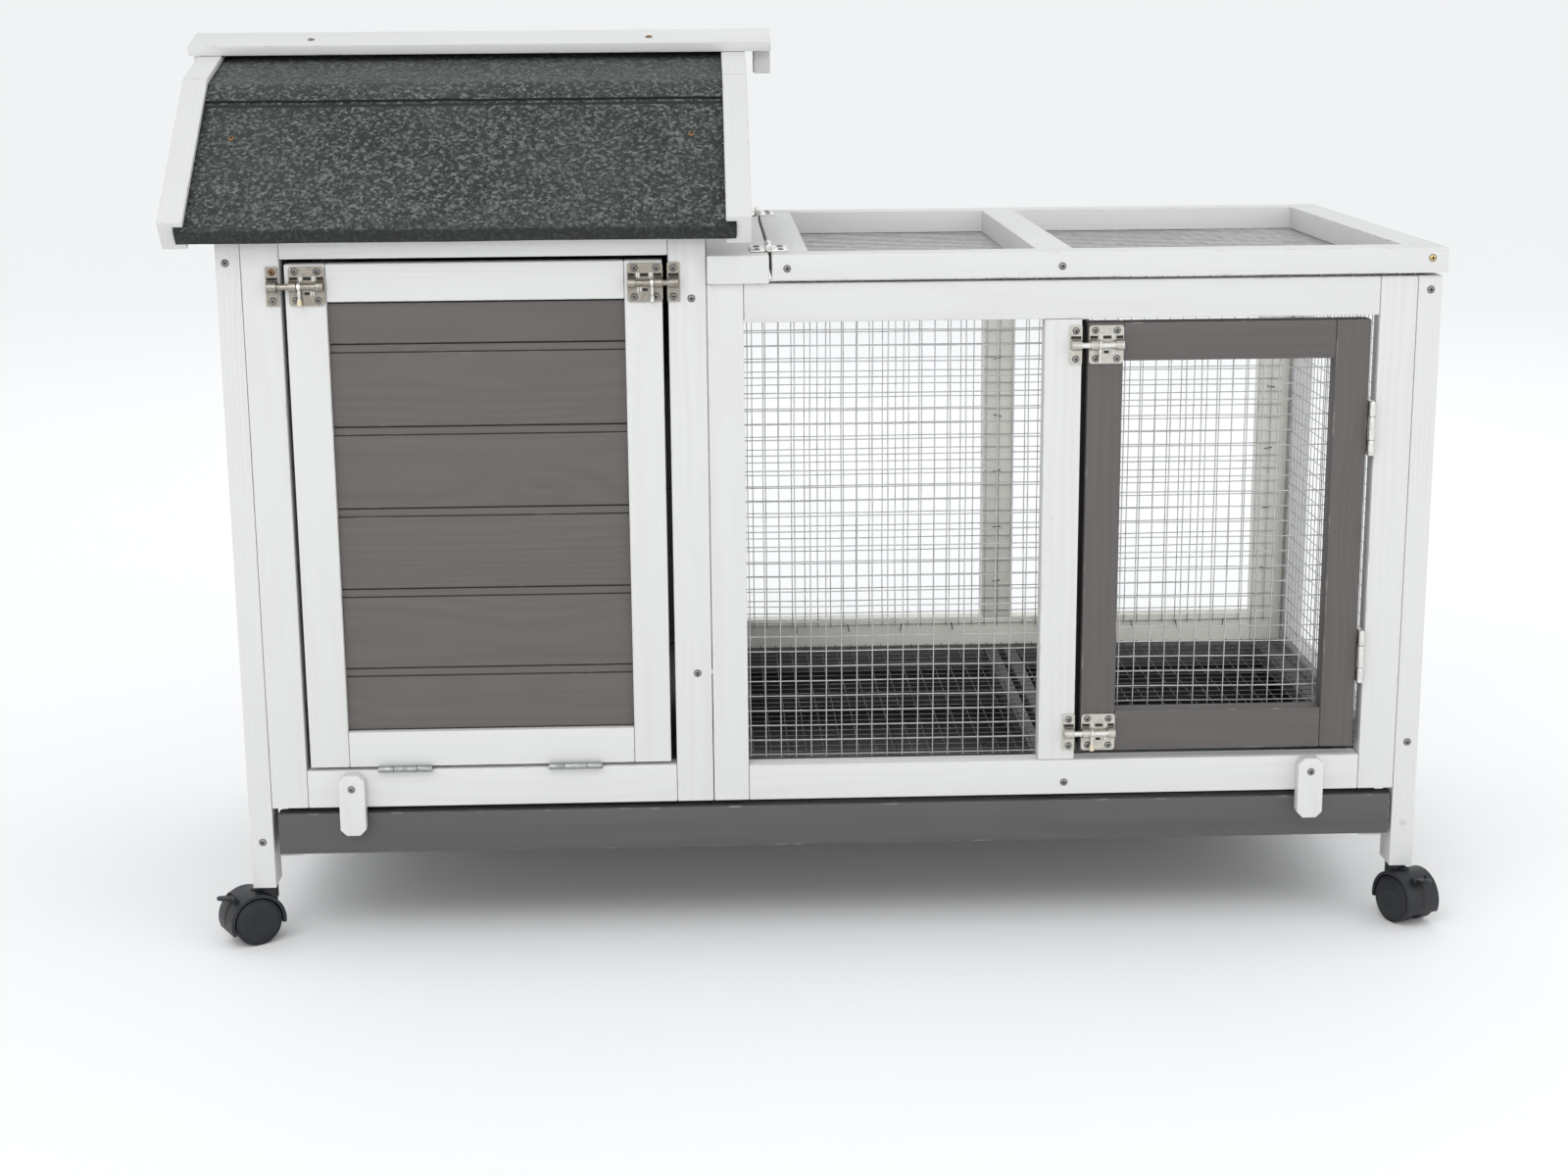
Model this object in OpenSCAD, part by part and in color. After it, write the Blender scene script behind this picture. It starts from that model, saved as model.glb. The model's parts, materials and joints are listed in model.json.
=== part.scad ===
/* [Body] */
// Width over the legs
body_w = 974; // [950:2:1000]
// Depth over the legs
body_d = 432; // [420:2:450]
// Width of the house at the left
house_w = 385; // [375:1:395]
// Height of the run's frames above the floor
run_top = 546.3; // [538:0.1:554]
// Height of the underside of the wall frames
wall_base = 117.3; // [116:0.1:119]
// Height of the house walls under the eaves
wall_top = 598.7; // [596:0.1:598.7]
// Thickness of the wall frames and doors
frame_t = 18; // [16:1:19]
// Width of the stiles and rails
rail_w = 30; // [28:1:31]
// Width of a leg across the front
leg_w = 19; // [19:1:22]
// Depth of a leg front to back
leg_d = 30; // [26:1:32]
// Open joint between two pieces of one frame
joint_gap = 0.2; // [0.1:0.1:0.4]

/* [House door] */
// Height of the joint between the two lowest whole boards
board_joint = 234.2; // [230:0.1:240]
// Gap around the house door
door_gap = 4; // [3:0.5:4]
// Height of the door's lower edge
door_base = 151.9; // [151:0.1:152]
// Height of the door's upper edge
door_top = 565.7; // [564:0.1:566]
// Width of one tongue and groove board
board_w = 66.7; // [60:0.1:75]
// Thickness of the boards
board_t = 8; // [6:1:9]
// How far the boards sit behind the front of their frame
board_set = 5; // [4:0.5:6]

/* [Run and its door] */
// Left side of the mullion in the run's front
mullion_x = 655; // [650:1:660]
// Left side of the mesh door
mesh_door_x = 690; // [689:0.5:691]
// Right side of the mesh door
mesh_door_end = 918.5; // [917:0.5:919]
// Lower edge of the mesh door
mesh_door_base = 154.8; // [153:0.1:156]
// Upper edge of the mesh door
mesh_door_top = 512; // [510:0.1:513]
// Spacing of the mesh wires
pitch = 12.7; // [12:0.1:14]
// Diameter of a mesh wire
wire_d = 1; // [0.9:0.1:1.2]
// Level of the floor mesh
floor_z = 142.3; // [140:0.1:143]
// Spacing of the floor mesh's wires
floor_pitch = 15; // [14:0.1:16]

/* [Lid] */
// Width of the fixed beam that carries the lid
beam_w = 49.5; // [46:0.5:52]
// Height of the lid's upper face
lid_top = 569.3; // [568:0.1:571]
// How far the lid stands in front of the wall
lid_proud = 4; // [3:0.5:5]
// Width of the lid's rails
lid_rail_w = 30; // [28:1:34]

/* [Roof] */
// Height of the felt at the eaves
eave_z = 595.5; // [595:0.1:598]
// How far the eaves stand in front of the wall
eave_out = 24.6; // [24:0.2:26]
// Height of the felt at the fold
fold_z = 699.3; // [698:0.1:703]
// Distance of the fold behind the front wall
fold_y = 110.6; // [108:0.2:113]
// Height of the felt at the ridge
ridge_z = 724.8; // [723:0.1:728]
// Thickness of the roof boards
roof_board_t = 10; // [9:0.5:10]
// Thickness of one sheet of felt
felt_t = 2; // [1.5:0.1:2]
// Thickness of the barge boards
barge_t = 20; // [18:1:22]
// How far the barge boards stand above the felt
barge_proud = 8; // [7:0.5:10]
// How far the barge boards reach below the felt
barge_drop = 20; // [18:1:22]
// Left end of the barge boards
roof_x = -38; // [-40:1:-36]
// Right end of the barge boards
roof_end = 421; // [419:1:423]
// How far the ridge cap runs past the barge boards on the left
cap_past_left = 8; // [6:1:10]
// How far the ridge cap runs past the barge boards on the right
cap_past_right = 22; // [18:1:22]
// Width of one ridge cap board
cap_w = 43; // [38:1:48]
// Thickness of the ridge cap
cap_t = 8.5; // [7:0.5:10]

/* [Tray] */
// Underside of the tray's front board
tray_base = 77.3; // [76:0.1:78]
// Upper edge of the tray's front board
tray_top = 112.3; // [110:0.1:113]
// Thickness of the tray's front board
tray_board_t = 15; // [12:1:16]
// Height of the pan's rim
pan_rim = 37.5; // [35:0.5:38]
// Thickness of the pan
pan_t = 1.6; // [1.2:0.1:2]

/* [Turn buttons] */
// Width of a turn button
button_w = 21; // [18:1:22]
// Thickness of a turn button
button_t = 11; // [10:0.5:12]
// Distance from a button's screw to its upper end
button_up = 11.5; // [11:0.5:12]
// Distance from a button's screw to its lower end
button_down = 40; // [36:1:41]

/* [Fittings] */
// Length of a hinge
hinge_l = 44; // [40:1:48]
// Radius of a hinge knuckle
knuckle_r = 2.8; // [2.6:0.1:3]
// Radius of a hinge pin
pin_r = 1.3; // [1.2:0.1:1.4]
// Radial clearance of a turning fit
fit = 0.06; // [0.04:0.01:0.08]
// Length of a bolt plate
plate_l = 28; // [27:0.5:29]
// Height of a bolt plate
plate_h = 31; // [29:1:32]
// Radius of a bolt rod
rod_r = 2.5; // [2.3:0.1:2.6]
// Radius of a screw head
screw_r = 3.6; // [3:0.1:4]

/* [Casters] */
// Height from the floor to the underside of the legs
caster_h = 48.3; // [48:0.1:50]
// Radius of a wheel
wheel_r = 20; // [19:0.5:20]
// Outer radius of the hood
hood_r = 24; // [23.5:0.5:25]
// Width over the two wheels
caster_w = 32; // [30:1:34]
// Distance from the swivel to the axle
trail = 15; // [14:0.5:16]
// Radius of the swivel stem
stem_r = 4; // [3.5:0.5:4.5]

/* [Hidden] */

white = "#e6e5e0";
grey_brown = "#6d6560";
felt_green = "#464c48";
nickel = "#bdb8aa";
zinc = "#b4b4b8";
black = "#1e2226";

// the inner faces of the legs and walls
run_x = house_w + 0.3;
wall_in = body_d - frame_t;
legs_in = leg_w + 0.3;
run_end = body_w - leg_w - 0.3;
door_x = leg_w + rail_w + door_gap;
door_end = house_w - rail_w - 1 - door_gap;
lid_x = house_w + beam_w + 2.5;
lid_end = body_w + 3;
lid_base = run_top + 2.6;
mesh_back = frame_t + 0.3;

// slopes of the lower and the upper roof
low_slope = atan2(fold_z - eave_z, fold_y + eave_out);
high_slope = atan2(ridge_z - fold_z, body_d / 2 - fold_y);
roof_board_x = roof_x + barge_t - 8;
roof_board_end = roof_end - barge_t + 8;

// hinges: middle of each along its pin
house_door_hinges = [131, 271];
mesh_door_hinges = [232.8, 423.8];
lid_hinges = [42, body_d - 42];
house_pin_y = -3.2;
house_pin_z = door_base - 1.1;
mesh_pin_x = mesh_door_end + 2.9;
lid_pin_x = lid_x - 1.4;
lid_pin_z = lid_top + knuckle_r;

// bolts: [x of the plate's edge beside the keeper, z of the rod, way to the keeper, gap]
bolts = [
    [door_x + 3.5, door_top - 17, -1, 8],
    [door_end + 0.5, door_top - 17, 1, 3.5],
    [mesh_door_x + 0.5, mesh_door_top - 17.5, -1, 5.5],
    [mesh_door_x + 0.5, mesh_door_base + 16.5, -1, 5.5]
];
keeper_l = 10;
plate_t = 1.4;
rod_y = -5.8;

button_z = wall_base + 19;
button_xs = [87, 882];

// casters: [x of the stem, y of the stem, way that the hood's back points]
caster_x = leg_w / 2;
caster_y = leg_d / 2;
casters = [
    [caster_x, caster_y, 210],
    [body_w - caster_x, caster_y, -66],
    [caster_x, body_d - caster_y, 66],
    [body_w - caster_x, body_d - caster_y, 118]
];

// the part's origin: middle of its box, on the floor
low_x = roof_x - cap_past_left;
high_x = body_w - caster_x + (trail + hood_r) * cos(66) + caster_w / 2 * sin(66);
mid_x = (low_x + high_x) / 2;
mid_y = body_d / 2;

module placed() translate([-mid_x, -mid_y, 0]) children();

module slab(low, high) translate(low) cube(high - low);

// a frame that stands across the front: two full stiles and two rails between them
module upright_frame(x0, x1, z0, z1, y, stiles, rails) {
    y1 = y + frame_t;
    slab([x0, y, z0], [x0 + stiles[0], y1, z1]);
    slab([x1 - stiles[1], y, z0], [x1, y1, z1]);
    inner0 = x0 + stiles[0] + joint_gap;
    inner1 = x1 - stiles[1] - joint_gap;
    slab([inner0, y, z0], [inner1, y1, z0 + rails[0]]);
    slab([inner0, y, z1 - rails[1]], [inner1, y1, z1]);
}

// one horizontal board running along X, with a step cut into the top of its outer face
module board(x0, x1, z0, z1, y, t, step) {
    translate([x0, y, 0]) rotate([90, 0, 90]) linear_extrude(x1 - x0)
        polygon([[0, z0 + 1.2], [1.2, z0], [t, z0], [t, z1], [1.6, z1], [1.6, z1 - step],
            [0, z1 - step - 1]]);
}

// a wall of boards from z0 to z1 with one joint at height joint
module board_wall(x0, x1, z0, z1, y, t, joint) {
    first = joint - board_w * ceil((joint - z0) / board_w);
    for (z = [first : board_w : z1])
        if (min(z + board_w, z1) - max(z, z0) > 4)
            board(x0, x1, max(z, z0) + joint_gap, min(z + board_w, z1) - joint_gap, y, t,
                z + board_w > z1 ? 0.6 : 5.5);
}

// welded mesh standing in the XZ plane, centred on y
module mesh_upright(x0, x1, z0, z1, y) {
    for (x = [x0 : pitch : x1])
        translate([x, y - wire_d / 2 - 0.02, z0 - 2])
            cylinder(h = z1 - z0 + 4, r = wire_d / 2, $fn = 16);
    for (z = [z0 : pitch : z1])
        translate([x0 - 2, y + wire_d / 2 + 0.02, z]) rotate([0, 90, 0])
            cylinder(h = x1 - x0 + 4, r = wire_d / 2, $fn = 16);
}

// welded mesh lying flat, centred on z
module mesh_flat(x0, x1, y0, y1, z, step) {
    for (x = [x0 : step : x1])
        translate([x, y0 - 2, z - wire_d / 2 - 0.02]) rotate([-90, 0, 0])
            cylinder(h = y1 - y0 + 4, r = wire_d / 2, $fn = 16);
    for (y = [y0 : step : y1])
        translate([x0 - 2, y, z + wire_d / 2 + 0.02]) rotate([0, 90, 0])
            cylinder(h = x1 - x0 + 4, r = wire_d / 2, $fn = 16);
}

// ---- legs and fixed frames ----

module leg(x, y, top) {
    difference() {
        slab([x, y, caster_h], [x + leg_w, y + leg_d, top]);
        translate([x + leg_w / 2, y + leg_d / 2, caster_h - 1])
            cylinder(h = 27, r = stem_r + fit, $fn = 32);
    }
}

module legs() placed() color(white) {
    leg(0, 0, wall_top);
    leg(0, body_d - leg_d, wall_top);
    leg(body_w - leg_w, 0, run_top);
    leg(body_w - leg_w, body_d - leg_d, run_top);
}

module house_front_frame() placed() color(white)
    upright_frame(legs_in, house_w - 0.3, wall_base, wall_top, 0,
        [rail_w, rail_w], [32, wall_top - door_top - door_gap]);

module house_side_frame() placed() color(white) {
    y0 = leg_d + joint_gap;
    y1 = body_d - leg_d - joint_gap;
    slab([0.5, y0, wall_base], [frame_t, y1, wall_base + rail_w]);
    slab([0.5, y0, wall_top - rail_w], [frame_t, y1, wall_top]);
    // an upright in the middle
    slab([0.5, mid_y - 15, wall_base + rail_w + joint_gap],
        [frame_t, mid_y + 15, wall_top - rail_w - joint_gap]);
}

// the part of a gable above the wall, between x0 and x1
module gable(x0, x1) {
    base = wall_top + joint_gap;
    under = roof_board_t + felt_t + 0.5;
    low = roof_point(0, under);
    run = (base - low[1]) / tan(low_slope) + low[0];
    f = roof_point(1, under);
    r = roof_point(2, under);
    translate([x0, 0, 0]) rotate([90, 0, 90]) linear_extrude(x1 - x0)
        polygon([[run, base], f, r, [body_d - f[0], f[1]], [body_d - run, base]]);
}

module house_side_boards() placed() color(grey_brown) {
    z0 = wall_base + rail_w;
    z1 = wall_top - rail_w;
    for (side = [[leg_d, mid_y - 15], [mid_y + 15, body_d - leg_d]])
        translate([board_set + 1, side[1] - joint_gap, 0]) rotate([0, 0, -90])
            board_wall(0, side[1] - side[0] - 2 * joint_gap, z0, z1, 0, board_t, board_joint);
    gable(board_set + 1, board_set + 1 + board_t);
}

// the wall between the house and the run, with the rabbit's doorway, and the gable above it
doorway_y = [225, 385];
doorway_top = 394;
divider_x = 366;
divider_t = 14;

module divider_wall() placed() color(white) {
    y0 = mesh_back + 0.2;
    y1 = wall_in - 0.5;
    x1 = divider_x + divider_t;
    slab([divider_x, y0, floor_z - 1.3], [x1, doorway_y[0], doorway_top]);
    slab([divider_x, doorway_y[1], floor_z - 1.3], [x1, y1, doorway_top]);
    slab([divider_x, doorway_y[0] + joint_gap, floor_z - 1.3],
        [x1, doorway_y[1] - joint_gap, floor_z + 6]);
    slab([divider_x, y0, doorway_top + joint_gap], [x1, y1, wall_top]);
    gable(divider_x, divider_x + divider_t);
}

module rear_frame() placed() color(white) {
    y = wall_in;
    upright_frame(legs_in, house_w - 0.3, wall_base, wall_top, y,
        [rail_w, rail_w], [rail_w, rail_w]);
    upright_frame(run_x, run_end, wall_base, run_top, y, [rail_w - 1, rail_w], [50, rail_w + 1]);
    slab([mullion_x, y, wall_base + 50 + joint_gap],
        [mullion_x + rail_w, body_d, run_top - rail_w - 1 - joint_gap]);
}

module rear_boards() placed() color(grey_brown)
    translate([0, body_d, 0]) mirror([0, 1, 0])
        board_wall(legs_in + rail_w + joint_gap, house_w - 0.3 - rail_w - joint_gap,
            wall_base + rail_w, wall_top - rail_w, board_set, board_t, board_joint);

module rear_mesh() placed() color(zinc)
    mesh_upright(run_x + 18, run_end - 10, wall_base + 44, run_top - 20, wall_in - 1.4);

module run_front_frame() placed() color(white) {
    upright_frame(run_x, run_end, wall_base, run_top, 0, [rail_w - 1, rail_w], [rail_w, rail_w + 1]);
    slab([mullion_x, 0, wall_base + rail_w + joint_gap],
        [mullion_x + rail_w, frame_t, run_top - rail_w - 1 - joint_gap]);
}

module run_front_mesh() placed() color(zinc)
    mesh_upright(run_x + 18.5, mullion_x + 12, floor_z + 8, run_top - 20, mesh_back + 1.2);

module run_side_frame() placed() color(white) {
    x0 = body_w - frame_t;
    y0 = leg_d + joint_gap;
    y1 = body_d - leg_d - joint_gap;
    slab([x0, y0, wall_base], [body_w - 0.5, y1, wall_base + rail_w]);
    slab([x0, y0, run_top - rail_w - 1], [body_w - 0.5, y1, run_top]);
}

module run_side_mesh() placed() color(zinc)
    translate([body_w - leg_w - 1.5, 0, 0]) rotate([0, 0, 90])
        mesh_upright(mesh_back + 6, wall_in - 6, floor_z + 8, run_top - 14, 0);

module floor_battens() placed() color(grey_brown) {
    rear = wall_in - 16;
    for (x = [23, 332, run_x + 2, run_end - rail_w + 1])
        slab([x, mesh_back, floor_z - 17], [x + 28, rear - joint_gap, floor_z - 1.5]);
    // a pair under the middle of the run, and one along the rear
    for (x = [mullion_x + 1, mullion_x + 19])
        slab([x, mesh_back, floor_z - 17], [x + 12, rear - joint_gap, floor_z - 1.5]);
    slab([run_x + 2, rear, wall_base + 0.5], [run_end - 1, wall_in - 0.3, floor_z - 2.5]);
    slab([23, rear, floor_z - 17], [360, wall_in - 0.3, floor_z - 1.5]);
}

module run_floor_mesh() placed() color(zinc)
    mesh_flat(run_x + 4, run_end - 6, mesh_back + 5, wall_in - 6, floor_z - 0.3, floor_pitch);

module house_floor() placed() color(grey_brown)
    slab([legs_in, mesh_back, floor_z - 1.3], [divider_x - 0.3, wall_in - 0.3, floor_z + 6]);

module tray_runners() placed() color(white)
    for (x = [6, body_w - 38])
        slab([x, leg_d + 0.2, tray_base - 12], [x + 32, body_d - leg_d - 0.2, tray_base - 0.5]);

// ---- roof ----

// a point of the roof's section: 0 eave, 1 fold, 2 ridge, at a depth n below the felt's face
function roof_point(k, n) =
    k == 0 ? [-eave_out + n * sin(low_slope), eave_z - n * cos(low_slope)] :
    k == 1 ? [fold_y, fold_z] + n / cos((low_slope - high_slope) / 2)
        * [sin((low_slope + high_slope) / 2), -cos((low_slope + high_slope) / 2)] :
    [body_d / 2, ridge_z - n / cos(high_slope)];

// a length along the lower slope, and one along the upper slope
function down_low(s) = s * [-cos(low_slope), -sin(low_slope)];
function down_high(s) = s * [-cos(high_slope), -sin(high_slope)];

module across(x0, x1, points)
    translate([x0, 0, 0]) rotate([90, 0, 90]) linear_extrude(x1 - x0) polygon(points);

// front and rear copies
module both_slopes() {
    children();
    translate([0, body_d, 0]) mirror([0, 1, 0]) children();
}

// a layer of the lower and of the upper slope, between depths n0 and n1
module low_layer(x0, x1, n0, n1)
    across(x0, x1, [roof_point(0, n0), roof_point(1, n0) + down_low(0.1),
        roof_point(1, n1) + down_low(0.1), roof_point(0, n1)]);

module high_layer(x0, x1, n0, n1)
    across(x0, x1, [roof_point(1, n0) - down_high(0.1), roof_point(2, n0) - [0.1, 0],
        roof_point(2, n1) - [0.1, 0], roof_point(1, n1) - down_high(0.1)]);

module roof_boards() placed() color(white) both_slopes() {
    low_layer(roof_board_x, roof_board_end, felt_t + 0.1, felt_t + roof_board_t);
    high_layer(roof_board_x, roof_board_end, felt_t + 0.1, felt_t + roof_board_t);
}

// the lower sheets fold down over the eaves, and the upper sheet laps over them
felt_lap = 20;

module roof_felt() placed() color(felt_green) {
    both_slopes() across(roof_board_x, roof_board_end, [
        roof_point(0, 0) + down_low(felt_t), roof_point(1, 0), roof_point(1, felt_t),
        roof_point(0, felt_t) + down_low(0.1),
        roof_point(0, felt_t + roof_board_t + 1) + down_low(0.1),
        roof_point(0, felt_t + roof_board_t + 1) + down_low(felt_t)]);
    over = -felt_t - 0.2;
    both_slopes() across(roof_board_x, roof_board_end, [
        roof_point(1, over) + down_low(felt_lap), roof_point(1, over),
        roof_point(2, over) - [0.1, 0], roof_point(2, -0.2) - [0.1, 0], roof_point(1, -0.2),
        roof_point(1, -0.2) + down_low(felt_lap)]);
}

// a pair of barge boards, with the groove that takes the roof boards and the felt
module barge_pair(x0, groove_x) {
    g0 = -felt_t - 0.6;
    g1 = felt_t + roof_board_t + 0.3;
    both_slopes() {
        difference() {
            low_layer(x0, x0 + barge_t, -barge_proud, barge_drop);
            across(groove_x, groove_x + 8.3, [roof_point(0, g0) + down_low(5), roof_point(1, g0),
                roof_point(1, g1), roof_point(0, g1) + down_low(5)]);
        }
        difference() {
            high_layer(x0, x0 + barge_t, -barge_proud, barge_drop);
            across(groove_x, groove_x + 8.3, [roof_point(1, g0) + down_high(5),
                roof_point(2, g0) - down_high(5), roof_point(2, g1) - down_high(5),
                roof_point(1, g1) + down_high(5)]);
        }
    }
}

module barge_boards() placed() color(white) {
    barge_pair(roof_x, roof_x + barge_t - 8.2);
    barge_pair(roof_end - barge_t, roof_end - barge_t - 0.1);
}

module ridge_cap() placed() color(white) {
    n0 = -barge_proud - 0.2 - cap_t;
    n1 = -barge_proud - 0.2;
    both_slopes() across(roof_x - cap_past_left, roof_end + cap_past_right, [
        roof_point(2, n0) - [0.1, 0], roof_point(2, n1) - [0.1, 0],
        roof_point(2, n1) + down_high(cap_w),
        roof_point(2, n1) + down_high(cap_w) + cap_t * [-sin(high_slope), cos(high_slope)]]);
}

module ridge_end_blocks() placed() color(white) {
    half = 18;
    top = roof_point(2, -barge_proud)[1] - half * tan(high_slope) - 0.2;
    for (x = [roof_end + cap_past_right - 14, roof_x - cap_past_left])
        slab([x, mid_y - half, top - 24], [min(x + 14, x < 0 ? roof_x - 0.2 : x + 14), mid_y + half, top]);
}

module hinge_beam() placed() color(white)
    slab([run_x + 0.2, -lid_proud, run_top + 0.2],
        [run_x + beam_w, body_d + lid_proud, lid_top - 0.3]);

// ---- hinges, bolts and screws ----

// one hinge leaf along X, its pin on the axis; the plate runs to +Y at the height z
module leaf(ends, width, z, thick = 1) {
    knuckles = ends ? [[-0.5, -0.22], [0.22, 0.5]] : [[-0.21, 0.21]];
    difference() {
        union() {
            slab([-hinge_l / 2, knuckle_r + 0.5, z], [hinge_l / 2, width, z + thick]);
            for (k = knuckles) {
                translate([k[0] * hinge_l, 0, 0]) rotate([0, 90, 0])
                    cylinder(h = (k[1] - k[0]) * hinge_l, r = knuckle_r, $fn = 32);
                slab([k[0] * hinge_l, 0, z], [k[1] * hinge_l, knuckle_r + 1, z + thick]);
            }
        }
        translate([-hinge_l, 0, 0]) rotate([0, 90, 0])
            cylinder(h = 2 * hinge_l, r = pin_r + (ends ? fit : 0), $fn = 32);
    }
}

// the fixed leaf holds the pin in its middle knuckle
module fixed_leaf(width, z) {
    leaf(false, width, z);
    translate([-hinge_l / 2 - 0.4, 0, 0]) rotate([0, 90, 0])
        cylinder(h = hinge_l + 0.8, r = pin_r, $fn = 32);
}

module at_house_hinges() for (x = house_door_hinges)
    translate([x, house_pin_y, house_pin_z]) children();

module at_mesh_hinges() for (z = mesh_door_hinges)
    translate([mesh_pin_x, house_pin_y, z]) rotate([0, -90, 0]) children();

module at_lid_hinges() for (y = lid_hinges)
    translate([lid_pin_x, y, lid_pin_z]) rotate([0, 0, -90]) children();

module fixed_hinge_leaves() placed() color(nickel) {
    at_house_hinges() fixed_leaf(frame_t, -1.4);
    at_mesh_hinges() fixed_leaf(frame_t, -2.5);
    at_lid_hinges() mirror([0, 1, 0]) fixed_leaf(15, -knuckle_r);
}

// a strap that holds the rod against its plate, from x0 to x1
module strap(x0, x1) difference() {
    union() {
        translate([x0, rod_y, 0]) rotate([0, 90, 0])
            cylinder(h = x1 - x0, r = rod_r + 1.7, $fn = 32);
        slab([x0, rod_y, -rod_r - 1.7], [x1, -plate_t + 0.1, rod_r + 1.7]);
    }
    translate([x0 - 1, rod_y, 0]) rotate([0, 90, 0])
        cylinder(h = x1 - x0 + 2, r = rod_r + fit, $fn = 32);
}

module at_bolt(b) translate([b[0], 0, b[1]]) mirror([b[2] < 0 ? 1 : 0, 0, 0]) children();

// a bolt's base plate, its rod, its knob and its keeper; the keeper is on the +X side
module bolt_plate() {
    slab([-plate_l, -plate_t, -plate_h / 2], [0, 0, plate_h / 2]);
    strap(-6.5, -0.5);
    strap(-plate_l + 0.5, -plate_l + 6.5);
}

module bolt_keeper(gap) {
    slab([gap, -plate_t, -plate_h / 2], [gap + keeper_l, 0, plate_h / 2]);
    strap(gap + 1, gap + keeper_l - 1);
}

module bolt_rod(k) placed() color(nickel) at_bolt(bolts[k])
    translate([-plate_l + 1, rod_y, 0]) rotate([0, 90, 0])
        cylinder(h = plate_l + bolts[k][3] + keeper_l - 2, r = rod_r, $fn = 32);

module bolt_knob(k) placed() color(nickel) at_bolt(bolts[k]) translate([-8.4, rod_y, 0]) difference() {
    union() {
        translate([-1.5, 0, 0]) rotate([0, 90, 0]) cylinder(h = 3, r = rod_r + 1, $fn = 32);
        translate([0, 0, -13]) cylinder(h = 12, r = 1.3, $fn = 24);
        translate([0, 0, -13]) sphere(r = 2.1, $fn = 24);
    }
    translate([-5, 0, 0]) rotate([0, 90, 0]) cylinder(h = 10, r = rod_r + fit, $fn = 32);
}

module bolt_keepers() placed() color(nickel)
    for (b = bolts) at_bolt(b) bolt_keeper(b[3]);

// screw heads on the front, as [x, z]
front_screws = [
    [7.5, 567.3], [10, 88.3], [373, 535.3], [373, 227.3], [965, 535.3], [965, 157.3], [965, 87.3],
    [677, 127.8]
];

module screw_head(x, z, y) translate([x, y, z]) rotate([90, 0, 0])
    cylinder(h = 0.9, r = screw_r, $fn = 32);

module screws() placed() color(nickel) {
    for (s = front_screws) screw_head(s[0], s[1], -0.05);
    // the turn buttons' pivots
    for (x = button_xs) {
        translate([x, -0.1, button_z]) rotate([90, 0, 0])
            cylinder(h = button_t + 1.5, r = 2, $fn = 32);
        screw_head(x, button_z, -button_t - 0.7);
    }
}

// ---- house door ----

module house_door_frame() placed() color(white)
    upright_frame(door_x, door_end, door_base, door_top, 0, [rail_w + 2, rail_w], [rail_w, rail_w]);

module house_door_boards() placed() color(grey_brown)
    board_wall(door_x + rail_w + 2 + joint_gap, door_end - rail_w - joint_gap,
        door_base + rail_w, door_top - rail_w, board_set, board_t, board_joint);

module house_door_leaves() placed() color(nickel)
    at_house_hinges() leaf(true, frame_t, -0.1);

module house_door_plates() placed() color(nickel)
    for (k = [0, 1]) at_bolt(bolts[k]) bolt_plate();

// ---- mesh door ----

module mesh_door_frame() placed() color(grey_brown)
    upright_frame(mesh_door_x, mesh_door_end, mesh_door_base, mesh_door_top, 0,
        [28.5, 28], [34, 31]);

module mesh_door_mesh() placed() color(zinc)
    mesh_upright(mesh_door_x + 20.5, mesh_door_end - 16, mesh_door_base + 24,
        mesh_door_top - 22, mesh_back + 1.2);

module mesh_door_leaves() placed() color(nickel)
    at_mesh_hinges() leaf(true, frame_t, 1.3);

module mesh_door_plates() placed() color(nickel)
    for (k = [2, 3]) at_bolt(bolts[k]) bolt_plate();

// ---- lid ----

module lid_frame() placed() color(white) {
    y0 = -lid_proud;
    y1 = body_d + lid_proud;
    slab([lid_x, y0, lid_base], [lid_end, y0 + lid_rail_w, lid_top]);
    slab([lid_x, y1 - lid_rail_w, lid_base], [lid_end, y1, lid_top]);
    for (x = [lid_x, mullion_x - 5, lid_end - lid_rail_w])
        slab([x, y0 + lid_rail_w + joint_gap, lid_base],
            [x + lid_rail_w, y1 - lid_rail_w - joint_gap, lid_top]);
}

module lid_mesh() placed() color(zinc)
    mesh_flat(lid_x + 8, lid_end - 12, 6, body_d - 8, lid_base - 1.15, pitch);

module lid_leaves() placed() color(nickel)
    at_lid_hinges() leaf(true, 15, -knuckle_r);

// ---- tray ----

module tray_front() placed() color(grey_brown)
    slab([leg_w + 4.5, 0, tray_base], [body_w - leg_w - 2, tray_board_t, tray_top]);

module tray_pan() placed() color(black) {
    x0 = leg_w + 8;
    x1 = body_w - leg_w - 8;
    y0 = tray_board_t + 0.1;
    y1 = body_d - 22;
    z1 = tray_base + pan_rim;
    slab([x0, y0, tray_base], [x1, y1, tray_base + pan_t]);
    z0 = tray_base + pan_t + 0.05;
    slab([x0, y0, z0], [x0 + pan_t, y1, z1]);
    slab([x1 - pan_t, y0, z0], [x1, y1, z1]);
    slab([x0 + pan_t + 0.05, y0, z0], [x1 - pan_t - 0.05, y0 + pan_t, z1]);
    slab([x0 + pan_t + 0.05, y1 - pan_t, z0], [x1 - pan_t - 0.05, y1, z1]);
}

// ---- turn buttons ----

module turn_button(x) placed() color(white) translate([x, -0.4, button_z]) rotate([90, 0, 0])
    difference() {
        h = button_w / 2;
        c = 5;
        linear_extrude(button_t) polygon([
            [-h + c, -button_down], [h - c, -button_down], [h, c - button_down],
            [h, button_up - c], [h - c, button_up], [c - h, button_up],
            [-h, button_up - c], [-h, c - button_down]]);
        translate([0, 0, -1]) cylinder(h = button_t + 2, r = 2 + fit, $fn = 32);
    }

// ---- casters, made with the swivel on the Z axis and the hood's back to +X ----

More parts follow.
